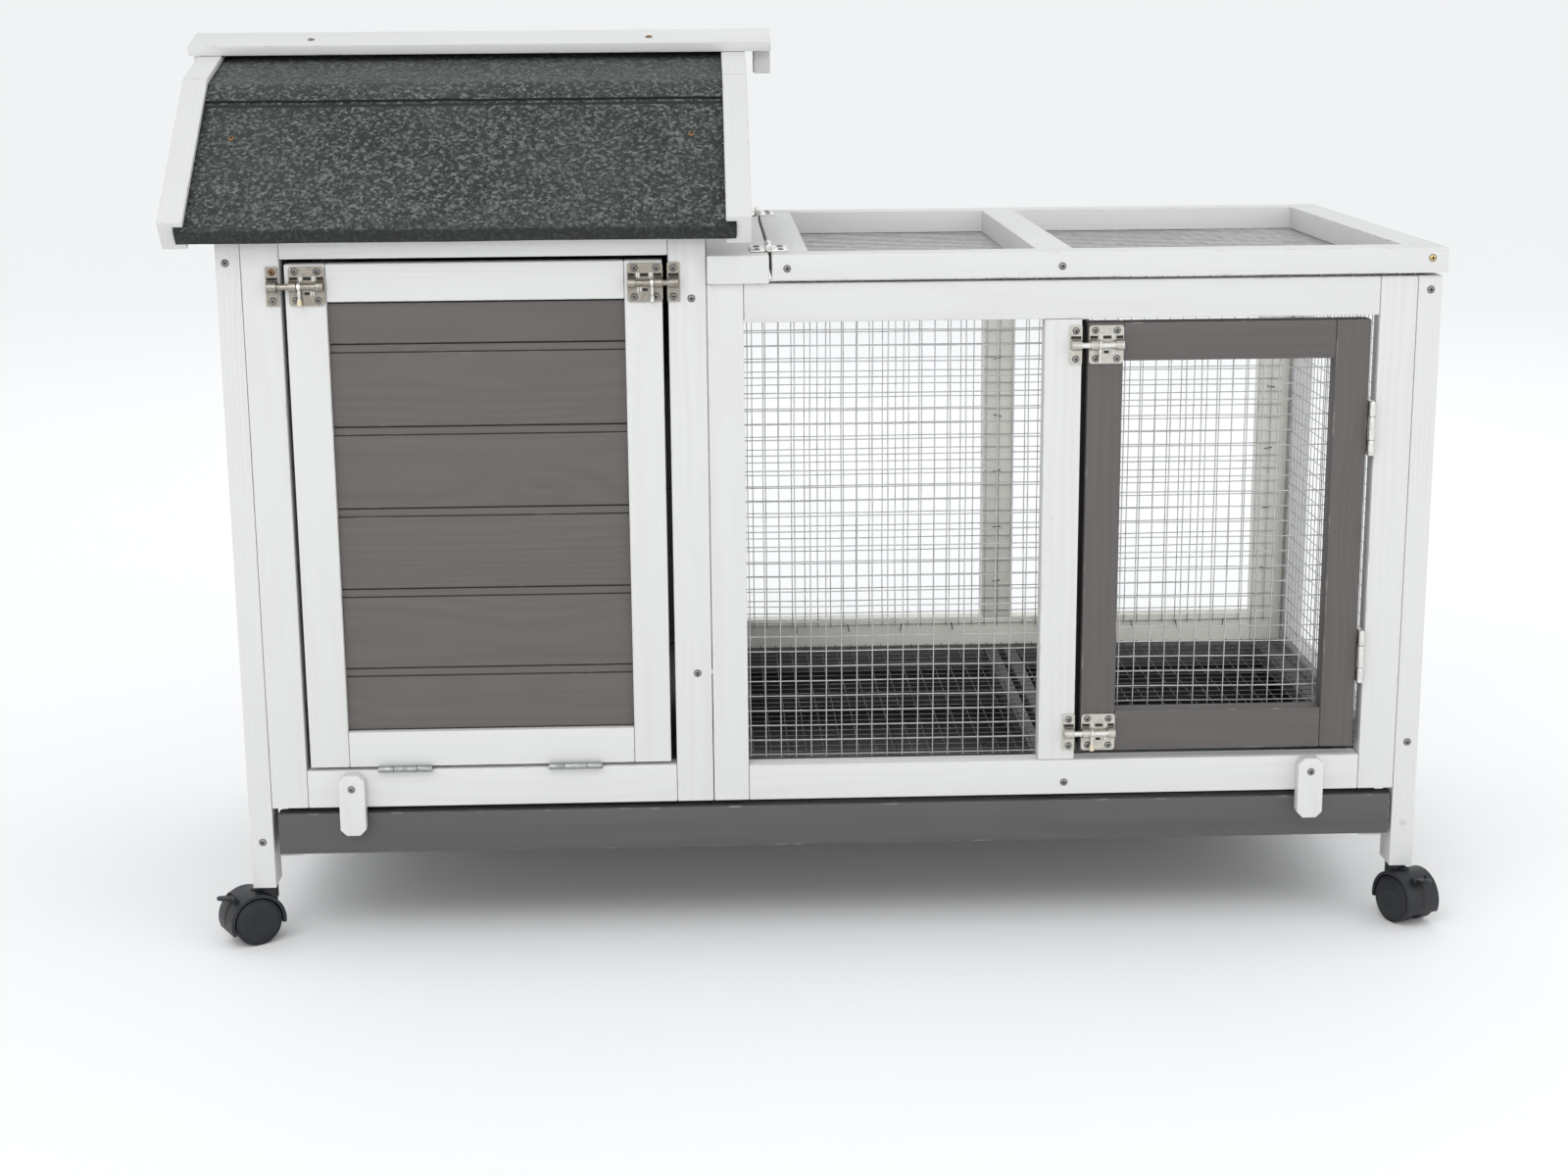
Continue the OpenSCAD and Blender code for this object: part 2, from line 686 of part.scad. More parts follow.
module at_caster(k) placed() color(black)
    translate([casters[k][0], casters[k][1], 0]) rotate([0, 0, casters[k][2]]) children();

module disc(x, z, y0, y1, r) translate([x, y0, z]) rotate([-90, 0, 0])
    cylinder(h = y1 - y0, r = r, $fn = 64);

// brake lever's pin, behind the hood
lever_way = 50;
lever_at = hood_r + 2.2;
lever_x = trail + lever_at * cos(lever_way);
lever_z = wheel_r + lever_at * sin(lever_way);

module caster_hood(k) at_caster(k) {
    half = caster_w / 2;
    difference() {
        disc(trail, wheel_r, -half, half, hood_r);
        disc(trail, wheel_r, -half - 1, half + 1, wheel_r + 1.2);
        // open below
        translate([trail, -half - 1, wheel_r]) rotate([0, 6, 0])
            slab([-60, 0, -60], [60, caster_w + 2, -6]);
    }
    // web between the wheels, with the axle's bore
    difference() {
        union() {
            slab([trail - 6, -2.6, wheel_r - 5], [trail + 6, 2.6, wheel_r + hood_r - 2]);
            slab([-7, -2.6, wheel_r + 8], [trail, 2.6, caster_h - 3]);
            translate([0, 0, wheel_r + hood_r - 8]) cylinder(h = 12, r = 8.5, $fn = 48);
        }
        disc(trail, wheel_r, -5, 5, 2.5 + fit);
        disc(trail, wheel_r, 2.6, half + 1, wheel_r + 1.2);
        disc(trail, wheel_r, -half - 1, -2.6, wheel_r + 1.2);
        translate([0, 0, caster_h - 0.4]) cylinder(h = 10, r = 20, $fn = 48);
    }
    cylinder_z = caster_h - 2;
    translate([0, 0, cylinder_z]) cylinder(h = 24, r = stem_r, $fn = 32);
    // two ears for the brake lever's pin
    for (side = [-1, 1]) difference() {
        translate([trail, side * 6.6, wheel_r]) rotate([0, -lever_way, 0])
            slab([hood_r - 1.5, -1.2, -2.4], [lever_at + 2.4, 1.2, 2.4]);
        disc(lever_x, lever_z, -10, 10, 1 + fit);
    }
}

module caster_wheels(k) at_caster(k) {
    half = caster_w / 2;
    disc(trail, wheel_r, -half - 0.5, -3.2, wheel_r);
    disc(trail, wheel_r, 3.2, half + 0.5, wheel_r);
    disc(trail, wheel_r, -4, 4, 2.5);
}

module brake_lever(k) at_caster(k) {
    disc(lever_x, lever_z, -8.2, 8.2, 1);
    disc(lever_x, lever_z, -5, 5, 1.7);
    translate([lever_x, 0, lever_z]) rotate([0, -10, 0]) slab([0.4, -4.6, -1.2], [13, 4.6, 1.2]);
}

legs();
house_front_frame();
house_side_frame();
house_side_boards();
divider_wall();
rear_frame();
rear_boards();
rear_mesh();
run_front_frame();
run_front_mesh();
run_side_frame();
run_side_mesh();
floor_battens();
run_floor_mesh();
house_floor();
tray_runners();
roof_boards();
roof_felt();
barge_boards();
ridge_cap();
ridge_end_blocks();
hinge_beam();
fixed_hinge_leaves();
bolt_keepers();
screws();
house_door_frame();
house_door_boards();
house_door_leaves();
house_door_plates();
mesh_door_frame();
mesh_door_mesh();
mesh_door_leaves();
mesh_door_plates();
lid_frame();
lid_mesh();
lid_leaves();
tray_front();
tray_pan();
turn_button(button_xs[0]);  // turn_button_left
turn_button(button_xs[1]);  // turn_button_right
bolt_rod(0);  // bolt_rod_1
bolt_rod(1);  // bolt_rod_2
bolt_rod(2);  // bolt_rod_3
bolt_rod(3);  // bolt_rod_4
bolt_knob(0);  // bolt_knob_1
bolt_knob(1);  // bolt_knob_2
bolt_knob(2);  // bolt_knob_3
bolt_knob(3);  // bolt_knob_4
caster_hood(0);  // caster_hood_1
caster_hood(1);  // caster_hood_2
caster_hood(2);  // caster_hood_3
caster_hood(3);  // caster_hood_4
caster_wheels(0);  // caster_wheels_1
caster_wheels(1);  // caster_wheels_2
caster_wheels(2);  // caster_wheels_3
caster_wheels(3);  // caster_wheels_4
brake_lever(0);  // brake_lever_1
brake_lever(1);  // brake_lever_2
brake_lever(2);  // brake_lever_3
brake_lever(3);  // brake_lever_4
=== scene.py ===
"""The looks of a rabbit hutch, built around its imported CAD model. Lengths are in metres."""
import json
import math
import random

import bmesh
import bpy
from mathutils import Matrix, Vector, noise

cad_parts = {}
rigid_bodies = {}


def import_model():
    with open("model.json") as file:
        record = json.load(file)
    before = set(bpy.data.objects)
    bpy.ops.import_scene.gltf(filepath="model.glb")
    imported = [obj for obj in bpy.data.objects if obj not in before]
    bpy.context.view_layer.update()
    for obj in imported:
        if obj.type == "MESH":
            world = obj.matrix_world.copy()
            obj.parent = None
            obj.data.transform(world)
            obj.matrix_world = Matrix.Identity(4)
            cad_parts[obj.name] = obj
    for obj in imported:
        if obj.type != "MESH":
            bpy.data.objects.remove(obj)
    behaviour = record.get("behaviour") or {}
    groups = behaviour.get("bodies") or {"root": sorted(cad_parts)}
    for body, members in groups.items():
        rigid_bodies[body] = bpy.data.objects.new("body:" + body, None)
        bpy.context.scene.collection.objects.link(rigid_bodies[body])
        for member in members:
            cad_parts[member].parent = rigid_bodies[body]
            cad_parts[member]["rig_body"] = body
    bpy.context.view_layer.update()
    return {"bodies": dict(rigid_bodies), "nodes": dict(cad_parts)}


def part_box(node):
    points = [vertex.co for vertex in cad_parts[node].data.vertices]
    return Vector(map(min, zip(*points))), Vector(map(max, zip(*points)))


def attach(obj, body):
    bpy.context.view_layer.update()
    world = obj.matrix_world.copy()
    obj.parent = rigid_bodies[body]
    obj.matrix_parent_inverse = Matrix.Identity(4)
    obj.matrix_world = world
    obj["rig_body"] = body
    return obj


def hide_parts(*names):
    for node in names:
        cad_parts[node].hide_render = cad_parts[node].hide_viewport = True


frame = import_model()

NODES = frame["nodes"]
BODY_OF = {n: b for b, o in frame["bodies"].items() for n in NODES if NODES[n]["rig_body"] == b}
MM = 0.001
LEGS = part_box("legs")
MESH_PITCH = 0.0127
# the roof's slopes, and where its middle, its fold and its screws are, in millimetres
STEEP, SHALLOW = math.radians(37.5), math.radians(13.6)
ROOF_MIDDLE, FOLD_AWAY = 216, 105.4
CAP_SCREW_TOP, FELT_SCREW_TOP = 741.9, 699.5


def at(x, y, z):
    """A point from millimetres right of, behind and above the left front leg's outer foot."""
    return Vector((LEGS[0].x + x * MM, LEGS[0].y + y * MM, z * MM))


# ---- small helpers ----


def make_object(name, bm, body, mats, smooth=None):
    """A mesh object from bm that rides on a body."""
    me = bpy.data.meshes.new(name)
    bm.to_mesh(me)
    bm.free()
    for m in mats:
        me.materials.append(m)
    ob = bpy.data.objects.new(name, me)
    bpy.context.scene.collection.objects.link(ob)
    if smooth is not None:
        me.shade_smooth()
        me.set_sharp_from_angle(angle=math.radians(smooth))
    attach(ob, body)
    return ob


def islands(bm):
    """The separate shells of bm, as lists of faces."""
    left = set(bm.faces)
    out = []
    while left:
        first = min(left, key=lambda f: f.index)
        left.discard(first)
        shell, queue = [first], [first]
        while queue:
            for e in queue.pop().edges:
                for f in e.link_faces:
                    if f in left:
                        left.discard(f)
                        shell.append(f)
                        queue.append(f)
        out.append(shell)
    return out


def ease_edges(bm, offset):
    """Rounds every edge of bm that turns by more than 25 degrees."""
    sharp = [e for e in bm.edges if len(e.link_faces) == 2 and e.calc_face_angle(0) > math.radians(25)]
    return bmesh.ops.bevel(
        bm, geom=sharp, offset=offset, segments=2, profile=0.6, affect="EDGES", clamp_overlap=True
    )


def cad_copy(node):
    """The node's solids as clean polygons."""
    bm = bmesh.new()
    bm.from_mesh(NODES[node].data)
    bmesh.ops.remove_doubles(bm, verts=bm.verts, dist=2e-6)
    bmesh.ops.dissolve_limit(
        bm, angle_limit=math.radians(0.4), use_dissolve_boundaries=False, verts=bm.verts, edges=bm.edges
    )
    bm.faces.index_update()
    return bm


# ---- materials ----


class Nodes:
    """Short names for building a material's nodes."""

    def __init__(self, name):
        self.mat = bpy.data.materials.new(name)
        self.mat.use_nodes = True
        self.tree = self.mat.node_tree
        self.shader = self.tree.nodes["Principled BSDF"]

    def new(self, kind, **values):
        n = self.tree.nodes.new(kind)
        for k, v in values.items():
            if hasattr(n, k):
                setattr(n, k, v)
            else:
                n.inputs[k.replace("_", " ")].default_value = v
        return n

    def link(self, out, into):
        self.tree.links.new(out, into)

    def math(self, op, a, b=None, clamp=False):
        n = self.new("ShaderNodeMath", operation=op, use_clamp=clamp)
        for k, v in enumerate((a, b)):
            if v is None:
                continue
            if isinstance(v, (int, float)):
                n.inputs[k].default_value = v
            else:
                self.link(v, n.inputs[k])
        return n.outputs[0]

    def attribute(self, name, out="Vector"):
        return self.new("ShaderNodeAttribute", attribute_name=name).outputs[out]

    def split(self, vector):
        n = self.new("ShaderNodeSeparateXYZ")
        self.link(vector, n.inputs[0])
        return n.outputs

    def scaled(self, vector, x, y, z):
        n = self.new("ShaderNodeVectorMath", operation="MULTIPLY")
        n.inputs[1].default_value = (x, y, z)
        self.link(vector, n.inputs[0])
        return n.outputs[0]

    def noise(self, vector, scale=1.0, detail=3.0, rough=0.55):
        n = self.new("ShaderNodeTexNoise", Scale=scale, Detail=detail, Roughness=rough)
        self.link(vector, n.inputs["Vector"])
        return n.outputs["Fac"]

    def span(self, value, low, high, to_low=0.0, to_high=1.0):
        n = self.new("ShaderNodeMapRange", clamp=True)
        for k, v in zip(("From Min", "From Max", "To Min", "To Max"), (low, high, to_low, to_high)):
            n.inputs[k].default_value = v
        self.link(value, n.inputs["Value"])
        return n.outputs[0]

    def mix(self, fac, a, b, blend="MIX"):
        n = self.new("ShaderNodeMix", data_type="RGBA", blend_type=blend)
        for socket, v in ((n.inputs["Factor"], fac), (n.inputs[6], a), (n.inputs[7], b)):
            if isinstance(v, (int, float)):
                socket.default_value = v
            elif isinstance(v, tuple):
                socket.default_value = (*v, 1.0)
            else:
                self.link(v, socket)
        return n.outputs[2]

    def finish(self, color=None, rough=None, height=None, bump=0.3, distance=0.001):
        if color is not None:
            self.link(color, self.shader.inputs["Base Color"])
        if rough is not None:
            self.link(rough, self.shader.inputs["Roughness"])
        if height is not None:
            b = self.new("ShaderNodeBump", Strength=bump, Distance=distance)
            self.link(height, b.inputs["Height"])
            self.link(b.outputs[0], self.shader.inputs["Normal"])
        return self.mat


def wood_rings(m, grain, pitch):
    """Year rings seen in a board: 0 to 1, and the board's knots."""
    u, v, w = m.split(grain)
    sway = m.noise(m.scaled(grain, 4, 9, 9), detail=2.0)
    knots = m.new("ShaderNodeTexVoronoi", feature="SMOOTH_F1", Scale=1.0, Smoothness=0.6)
    m.link(m.scaled(grain, 4.0, 13, 13), knots.inputs["Vector"])
    swell = m.math("POWER", m.math("SUBTRACT", 1.0, knots.outputs["Distance"], clamp=True), 7.0)
    across = m.math("SQRT", m.math("ADD", m.math("MULTIPLY", v, v), m.math("MULTIPLY", w, w)))
    r = m.math("ADD", across, m.math("MULTIPLY", sway, 0.008))
    r = m.math("ADD", r, m.math("MULTIPLY", swell, 0.010))
    wave = m.math("SINE", m.math("MULTIPLY", r, 2 * math.pi / pitch))
    return m.span(wave, -0.6, 1.0), swell


def painted_wood(name, tint=(1.0, 1.0, 1.0)):
    """Matt white paint on planed softwood: the grain barely shows through it."""
    m = Nodes(name)

    def tone(r, g, b):
        return (r * tint[0], g * tint[1], b * tint[2])

    grain = m.attribute("grain")
    rings, swell = wood_rings(m, grain, 0.0036)
    streak = m.noise(m.scaled(grain, 9, 420, 420), detail=4.0)
    cloud = m.noise(m.scaled(grain, 5, 22, 22), detail=3.0)
    fade = m.span(cloud, 0.4, 0.75)
    color = m.mix(m.math("MULTIPLY", rings, fade), tone(0.655, 0.659, 0.648), tone(0.620, 0.622, 0.605))
    color = m.mix(m.span(streak, 0.5, 0.8, 0.0, 0.5), color, tone(0.61, 0.612, 0.60))
    color = m.mix(m.span(swell, 0.6, 0.95, 0.0, 0.3), color, tone(0.59, 0.58, 0.55))
    chips = m.span(m.noise(m.scaled(grain, 60, 160, 160)), 0.56, 0.7)
    worn = m.math("MULTIPLY", m.attribute("edge", "Fac"), chips)
    color = m.mix(m.math("MULTIPLY", worn, 0.45), color, (0.40, 0.38, 0.34))
    specks = m.new("ShaderNodeTexVoronoi", Scale=1.0)
    m.link(m.scaled(grain, 14, 30, 30), specks.inputs["Vector"])
    color = m.mix(m.span(specks.outputs["Distance"], 0.012, 0.03, 0.35, 0.0), color, (0.42, 0.40, 0.37))
    height = m.math("ADD", m.math("MULTIPLY", streak, 0.6), m.math("MULTIPLY", rings, 0.25))
    rough = m.span(cloud, 0.3, 0.7, 0.5, 0.62)
    return m.finish(color, rough, height, 0.16, 0.0004)


def stained_wood(name, light, cool=0.0):
    """Grey-brown stain on planed softwood: fine, faint grain with a few soft knots."""
    m = Nodes(name)
    grain = m.attribute("grain")

    def tone(r, g, b):
        return (r * light * (1 - cool), g * light, b * light * (1 + cool))

    rings, swell = wood_rings(m, grain, 0.0040)
    streak = m.noise(m.scaled(grain, 7, 520, 520), detail=4.0)
    cloud = m.noise(m.scaled(grain, 4, 14, 14), detail=3.0)
    color = m.mix(m.math("MULTIPLY", rings, 0.6), tone(0.139, 0.124, 0.115), tone(0.119, 0.105, 0.097))
    color = m.mix(m.span(cloud, 0.35, 0.7, 0.0, 0.6), color, tone(0.145, 0.131, 0.123))
    color = m.mix(m.span(streak, 0.5, 0.8, 0.0, 0.5), color, tone(0.104, 0.091, 0.084))
    color = m.mix(m.span(swell, 0.62, 0.95, 0.0, 0.45), color, tone(0.088, 0.076, 0.070))
    chips = m.span(m.noise(m.scaled(grain, 50, 150, 150)), 0.56, 0.68)
    worn = m.math("MULTIPLY", m.attribute("edge", "Fac"), chips)
    color = m.mix(m.math("MULTIPLY", worn, 0.5), color, (0.34, 0.32, 0.29))
    scuffs = m.noise(m.scaled(grain, 26, 300, 200), detail=5.0, rough=0.75)
    color = m.mix(m.span(scuffs, 0.74, 0.80, 0.0, 0.4), color, (0.34, 0.33, 0.31))
    # painted shade: the faces in the grooves between the boards are darkened almost to black
    color = m.mix(m.math("MULTIPLY", m.attribute("groove_shade", "Fac"), 0.85), color, (0.016, 0.014, 0.013))
    height = m.math("ADD", m.math("MULTIPLY", streak, 0.7), m.math("MULTIPLY", rings, 0.3))
    rough = m.span(cloud, 0.3, 0.7, 0.5, 0.64)
    return m.finish(color, rough, height, 0.22, 0.0005)


def object_coords(m):
    return m.new("ShaderNodeTexCoord").outputs["Object"]


def felt_material():
    """Mineral roofing felt: green-grey granules bedded in black tar."""
    m = Nodes("mineral_felt")
    where = object_coords(m)
    warp = m.new("ShaderNodeVectorMath", operation="ADD")
    m.link(where, warp.inputs[0])
    wob = m.new("ShaderNodeTexNoise", Scale=420.0, Detail=2.0)
    m.link(where, wob.inputs["Vector"])
    m.link(m.scaled(wob.outputs["Color"], 0.0016, 0.0016, 0.0016), warp.inputs[1])
    grit = m.new("ShaderNodeTexVoronoi", Scale=400.0)
    m.link(warp.outputs[0], grit.inputs["Vector"])
    tone = m.split(grit.outputs["Color"])[0]
    fine = m.noise(where, 900.0, 2.0, 0.6)
    clump = m.noise(where, 300.0, 2.0, 0.7)
    base = m.mix(m.span(tone, 0.35, 0.95), (0.009, 0.0115, 0.0105), (0.165, 0.192, 0.174))
    base = m.mix(m.span(clump, 0.42, 0.56, 0.75, 0.0), base, (0.009, 0.0115, 0.0105))
    base = m.mix(m.span(fine, 0.54, 0.7, 0.0, 0.35), base, (0.20, 0.22, 0.205))
    cloud = m.noise(where, 9.0, 3.0)
    base = m.mix(m.span(cloud, 0.4, 0.7, 0.0, 0.18), base, (0.085, 0.095, 0.088))
    lip = m.span(m.split(where)[2], 0.5935, 0.5965, 0.75, 0.0)
    base = m.mix(lip, base, (0.012, 0.013, 0.0125))
    # the felt is made slightly paler from about the fold upward, on its shallow upper slopes
    paler_top = m.span(m.split(where)[2], 0.692, 0.704, 0.0, 0.10)
    base = m.mix(paler_top, base, (0.20, 0.205, 0.195))
    height = m.math("SUBTRACT", m.math("MULTIPLY", fine, 0.4), grit.outputs["Distance"])
    rough = m.span(tone, 0.0, 1.0, 0.75, 0.95)
    return m.finish(base, rough, height, 0.9, 0.0012)


def metal(name, color, rough, stain, scale=160.0):
    """Plated or galvanised metal with dull patches."""
    m = Nodes(name)
    where = object_coords(m)
    patch = m.noise(where, scale, 4.0, 0.6)
    m.shader.inputs["Metallic"].default_value = 1.0
    tint = m.mix(m.span(patch, 0.4, 0.7, 0.0, 0.7), color, stain)
    return m.finish(tint, m.span(patch, 0.3, 0.75, rough, rough + 0.22), patch, 0.12, 0.0003)


def plastic(name, color, rough, mottle=0.25, scale=900.0):
    """Moulded plastic with a fine spark-eroded skin."""
    m = Nodes(name)
    where = object_coords(m)
    fine = m.noise(where, scale, 2.0)
    cloud = m.noise(where, 45.0, 3.0)
    pale = tuple(min(1.0, c * 1.5 + 0.01) for c in color)
    tint = m.mix(m.span(cloud, 0.4, 0.75, 0.0, mottle), color, pale)
    return m.finish(tint, m.span(cloud, 0.3, 0.7, rough - 0.06, rough + 0.1), fine, 0.16, 0.0003)


WHITE = painted_wood("white_paint")
# painted light: a copy of the white paint made brighter and tinted cream, for the rear frame, which the lamps
# barely reach through the front
LIT_REAR_PAINT = painted_wood("rear_paint_painted_light", (1.30, 1.29, 1.20))
STAIN = stained_wood("grey_brown_stain", 0.80)
STAIN_DOOR = stained_wood("grey_stain_door", 0.74, 0.02)
STAIN_TRAY = stained_wood("grey_stain_tray", 0.66, 0.07)
FELT = felt_material()
WIRE = metal("galvanised_wire", (0.60, 0.60, 0.60), 0.30, (0.36, 0.36, 0.37), 60.0)
FLOOR_WIRE = metal("dull_wire", (0.16, 0.16, 0.165), 0.42, (0.07, 0.07, 0.075), 60.0)
NICKEL = metal("nickel_plate", (0.34, 0.315, 0.275), 0.30, (0.22, 0.195, 0.16), 240.0)
PALE = metal("pale_nickel", (0.60, 0.58, 0.53), 0.28, (0.42, 0.39, 0.33), 240.0)
STEEL = metal("grey_steel", (0.40, 0.41, 0.41), 0.36, (0.27, 0.27, 0.265), 260.0)
BRIGHT = metal("bright_zinc", (0.80, 0.79, 0.76), 0.22, (0.55, 0.53, 0.48), 300.0)
ZINC = metal("dull_zinc", (0.36, 0.36, 0.35), 0.38, (0.16, 0.15, 0.14), 400.0)
BRASS = metal("yellow_zinc", (0.78, 0.62, 0.30), 0.28, (0.50, 0.36, 0.16), 300.0)
RUST = metal("rusty_screw", (0.40, 0.24, 0.13), 0.55, (0.16, 0.08, 0.04), 600.0)
# painted shade: near-black for the shadow under the felt's lap and in the gap behind the mesh door
SHADE_BLACK = plastic("painted_shade_black", (0.008, 0.008, 0.008), 0.6)
# painted shade: near-black for the shade in screw recesses, under screw heads and in slots
RECESS_SHADE = plastic("painted_recess_shade", (0.014, 0.013, 0.012), 0.7)
HOOD = plastic("caster_moulding", (0.0075, 0.0095, 0.0125), 0.44)
WHEEL = plastic("caster_tread", (0.0065, 0.008, 0.0105), 0.5)
PAN = plastic("tray_plastic", (0.011, 0.0115, 0.013), 0.5)
CREAM = plastic("cream_cap", (0.66, 0.60, 0.42), 0.4)
PLUG = plastic("white_plug", (0.62, 0.62, 0.61), 0.5)


# ---- wood ----


def wooden(node, mat, ease=1.1, seed=1):
    """Stands for a CAD node: the same pieces with eased edges, and grain along each."""
    bm = cad_copy(node)
    rng = random.Random(seed)
    grain = bm.verts.layers.float_vector.new("grain")
    edge = bm.faces.layers.float.new("edge")
    groove_shade = bm.faces.layers.float.new("groove_shade")
    for shell in islands(bm):
        verts = sorted({v for f in shell for v in f.verts}, key=lambda v: v.index)
        edges = sorted({e for f in shell for e in f.edges}, key=lambda e: e.index)
        longest = max(edges, key=lambda e: e.calc_length())
        u = (longest.verts[1].co - longest.verts[0].co).normalized()
        if abs(u.x) > 0.9:
            u = Vector((1, 0, 0))
        side = Vector((0, 0, 1)) if abs(u.z) < 0.7 else Vector((1, 0, 0))
        v_axis = (side - side.dot(u) * u).normalized()
        w_axis = u.cross(v_axis)
        reach = [max(p.co.dot(a) for p in verts) - min(p.co.dot(a) for p in verts) for a in (v_axis, w_axis)]
        if reach[1] > reach[0]:
            v_axis, w_axis = w_axis, v_axis
        middle = sum((p.co for p in verts), Vector()) / len(verts)
        along, across = rng.uniform(-9, 9), rng.uniform(-0.03, 0.03)
        shift = Vector((along, across, rng.choice((-1, 1)) * rng.uniform(0.02, 0.09)))
        for p in verts:
            d = p.co - middle
            p[grain] = Vector((d.dot(u), d.dot(v_axis), d.dot(w_axis))) + shift
    for f in ease_edges(bm, ease * MM)["faces"]:
        f[edge] = 1.0
    bm.normal_update()
    if node.endswith("_boards") and mat is STAIN:
        # painted shade in the grooves between the boards: their up- and down-facing faces are marked to be
        # darkened
        for f in bm.faces:
            if abs(f.normal.z) > 0.35:
                f[groove_shade] = 1.0
    ob = make_object(node + "_wood", bm, BODY_OF[node], [mat], 30)
    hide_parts(node)


WHITE_NODES = (
    "legs", "house_front_frame", "house_side_frame", "divider_wall", "rear_frame", "run_front_frame",
    "run_side_frame", "tray_runners", "roof_boards", "barge_boards", "ridge_cap", "ridge_end_blocks",
    "hinge_beam", "house_door_frame", "lid_frame",
)
STAINED_NODES = (
    "house_side_boards", "rear_boards", "house_door_boards", "mesh_door_frame", "floor_battens",
    "house_floor", "tray_front",
)
for k, n in enumerate(WHITE_NODES):
    # the rear frame gets the brighter copy of the white paint, as painted light
    wooden(n, LIT_REAR_PAINT if n == "rear_frame" else WHITE, 1.2, 100 + k)
for k, n in enumerate(STAINED_NODES):
    mat = {"mesh_door_frame": STAIN_DOOR, "tray_front": STAIN_TRAY}.get(n, STAIN)
    wooden(n, mat, 0.7 if "boards" in n else 1.2, 200 + k)
for k, n in enumerate(("turn_button_left", "turn_button_right")):
    wooden(n, WHITE, 1.6, 300 + k)


# ---- wire mesh ----


def wire_panel(node, mat, seed):
    """Stands for a mesh: slightly wavy wires that touch where they are welded."""
    source = bmesh.new()
    source.from_mesh(NODES[node].data)
    bmesh.ops.remove_doubles(source, verts=source.verts, dist=1e-6)
    source.faces.index_update()
    low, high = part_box(node)
    flat = min(range(3), key=lambda a: high[a] - low[a])
    middle = (low[flat] + high[flat]) / 2
    rng = random.Random(seed)
    bm = bmesh.new()
    drift = rng.uniform(0, 50)
    for shell in islands(source):
        pts = {v for f in shell for v in f.verts}
        a = Vector([min(v.co[k] for v in pts) for k in range(3)])
        b = Vector([max(v.co[k] for v in pts) for k in range(3)])
        run = max(range(3), key=lambda k: b[k] - a[k])
        r = (b[flat] - a[flat]) / 2
        other = 3 - run - flat
        centre = (a + b) / 2
        # the two layers close up until they touch, as welded wires do
        centre[flat] = middle + (centre[flat] - middle) * 0.86
        steps = max(4, round((b[run] - a[run]) / MESH_PITCH))
        rings = []
        for i in range(steps + 1):
            t = a[run] + (b[run] - a[run]) * i / steps
            p = centre.copy()
            p[run] = t
            q = p * 9.0 + Vector((drift, drift, drift))
            p[other] += noise.noise(q) * 0.0009
            p[flat] += noise.noise(q + Vector((7, 7, 7))) * 0.0005
            p[flat] = min(max(p[flat], low[flat] + r), high[flat] - r)
            p[other] = min(max(p[other], low[other] + r), high[other] - r)
            ring = []
            for k in range(6):
                c, s = math.cos(k * math.pi / 3), math.sin(k * math.pi / 3)
                q = p.copy()
                q[other] += r * c
                q[flat] += r * s
                ring.append(bm.verts.new(q))
            rings.append(ring)
        for i in range(steps):
            for k in range(6):
                bm.faces.new((rings[i][k], rings[i][(k + 1) % 6], rings[i + 1][(k + 1) % 6], rings[i + 1][k]))
        bm.faces.new(rings[0][::-1])
        bm.faces.new(rings[-1])
    source.free()
    bmesh.ops.recalc_face_normals(bm, faces=bm.faces)
    ob = make_object(node + "_wires", bm, BODY_OF[node], [mat], 40)
    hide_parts(node)


MESHES = ("rear_mesh", "run_front_mesh", "run_side_mesh", "run_floor_mesh", "lid_mesh", "mesh_door_mesh")
for k, n in enumerate(MESHES):
    wire_panel(n, FLOOR_WIRE if n == "run_floor_mesh" else WIRE, 400 + k)


# ---- shapes for the fittings, in millimetres ----

ROW = Matrix.Translation(at(0, 0, 0)) @ Matrix.Scale(MM, 4)


def turned(axis):
    """A matrix that lays local X along an axis."""
    return Vector(axis).to_track_quat("X", "Z").to_matrix().to_4x4()


def block(low, high):
    bm = bmesh.new()
    bmesh.ops.create_cube(bm, size=1.0)
    low, high = Vector(low), Vector(high)
    for v in bm.verts:
        v.co = Vector([low[k] + (v.co[k] + 0.5) * (high[k] - low[k]) for k in range(3)])
    return bm


def lathe(profile, sides=28):
    """A turned shape about local X from (along, radius) points, from one end to the other."""
    bm = bmesh.new()
    rings = []
    for t, r in profile:
        if r < 1e-6:
            rings.append([bm.verts.new((t, 0, 0))])
            continue
        rings.append([
            bm.verts.new((t, r * math.cos(2 * math.pi * k / sides), r * math.sin(2 * math.pi * k / sides)))
            for k in range(sides)
        ])
    for a, b in zip(rings, rings[1:]):
        for k in range(sides):
            j = (k + 1) % sides
            if len(a) == 1 and len(b) > 1:
                bm.faces.new((a[0], b[k], b[j]))
            elif len(b) == 1 and len(a) > 1:
                bm.faces.new((a[j], a[k], b[0]))
            elif len(a) > 1:
                bm.faces.new((a[k], b[k], b[j], a[j]))
    for ring in (rings[0], rings[-1]):
        if len(ring) > 1:
            bm.faces.new(ring)
    return bm


def prism(outline, low, high):
    """An outline in local XY, from one height to another."""
    bm = bmesh.new()
    a = [bm.verts.new((x, y, low)) for x, y in outline]
    b = [bm.verts.new((x, y, high)) for x, y in outline]
    for k in range(len(a)):
        j = (k + 1) % len(a)
        bm.faces.new((a[k], a[j], b[j], b[k]))
    bm.faces.new(a)
    bm.faces.new(b)
    return bm


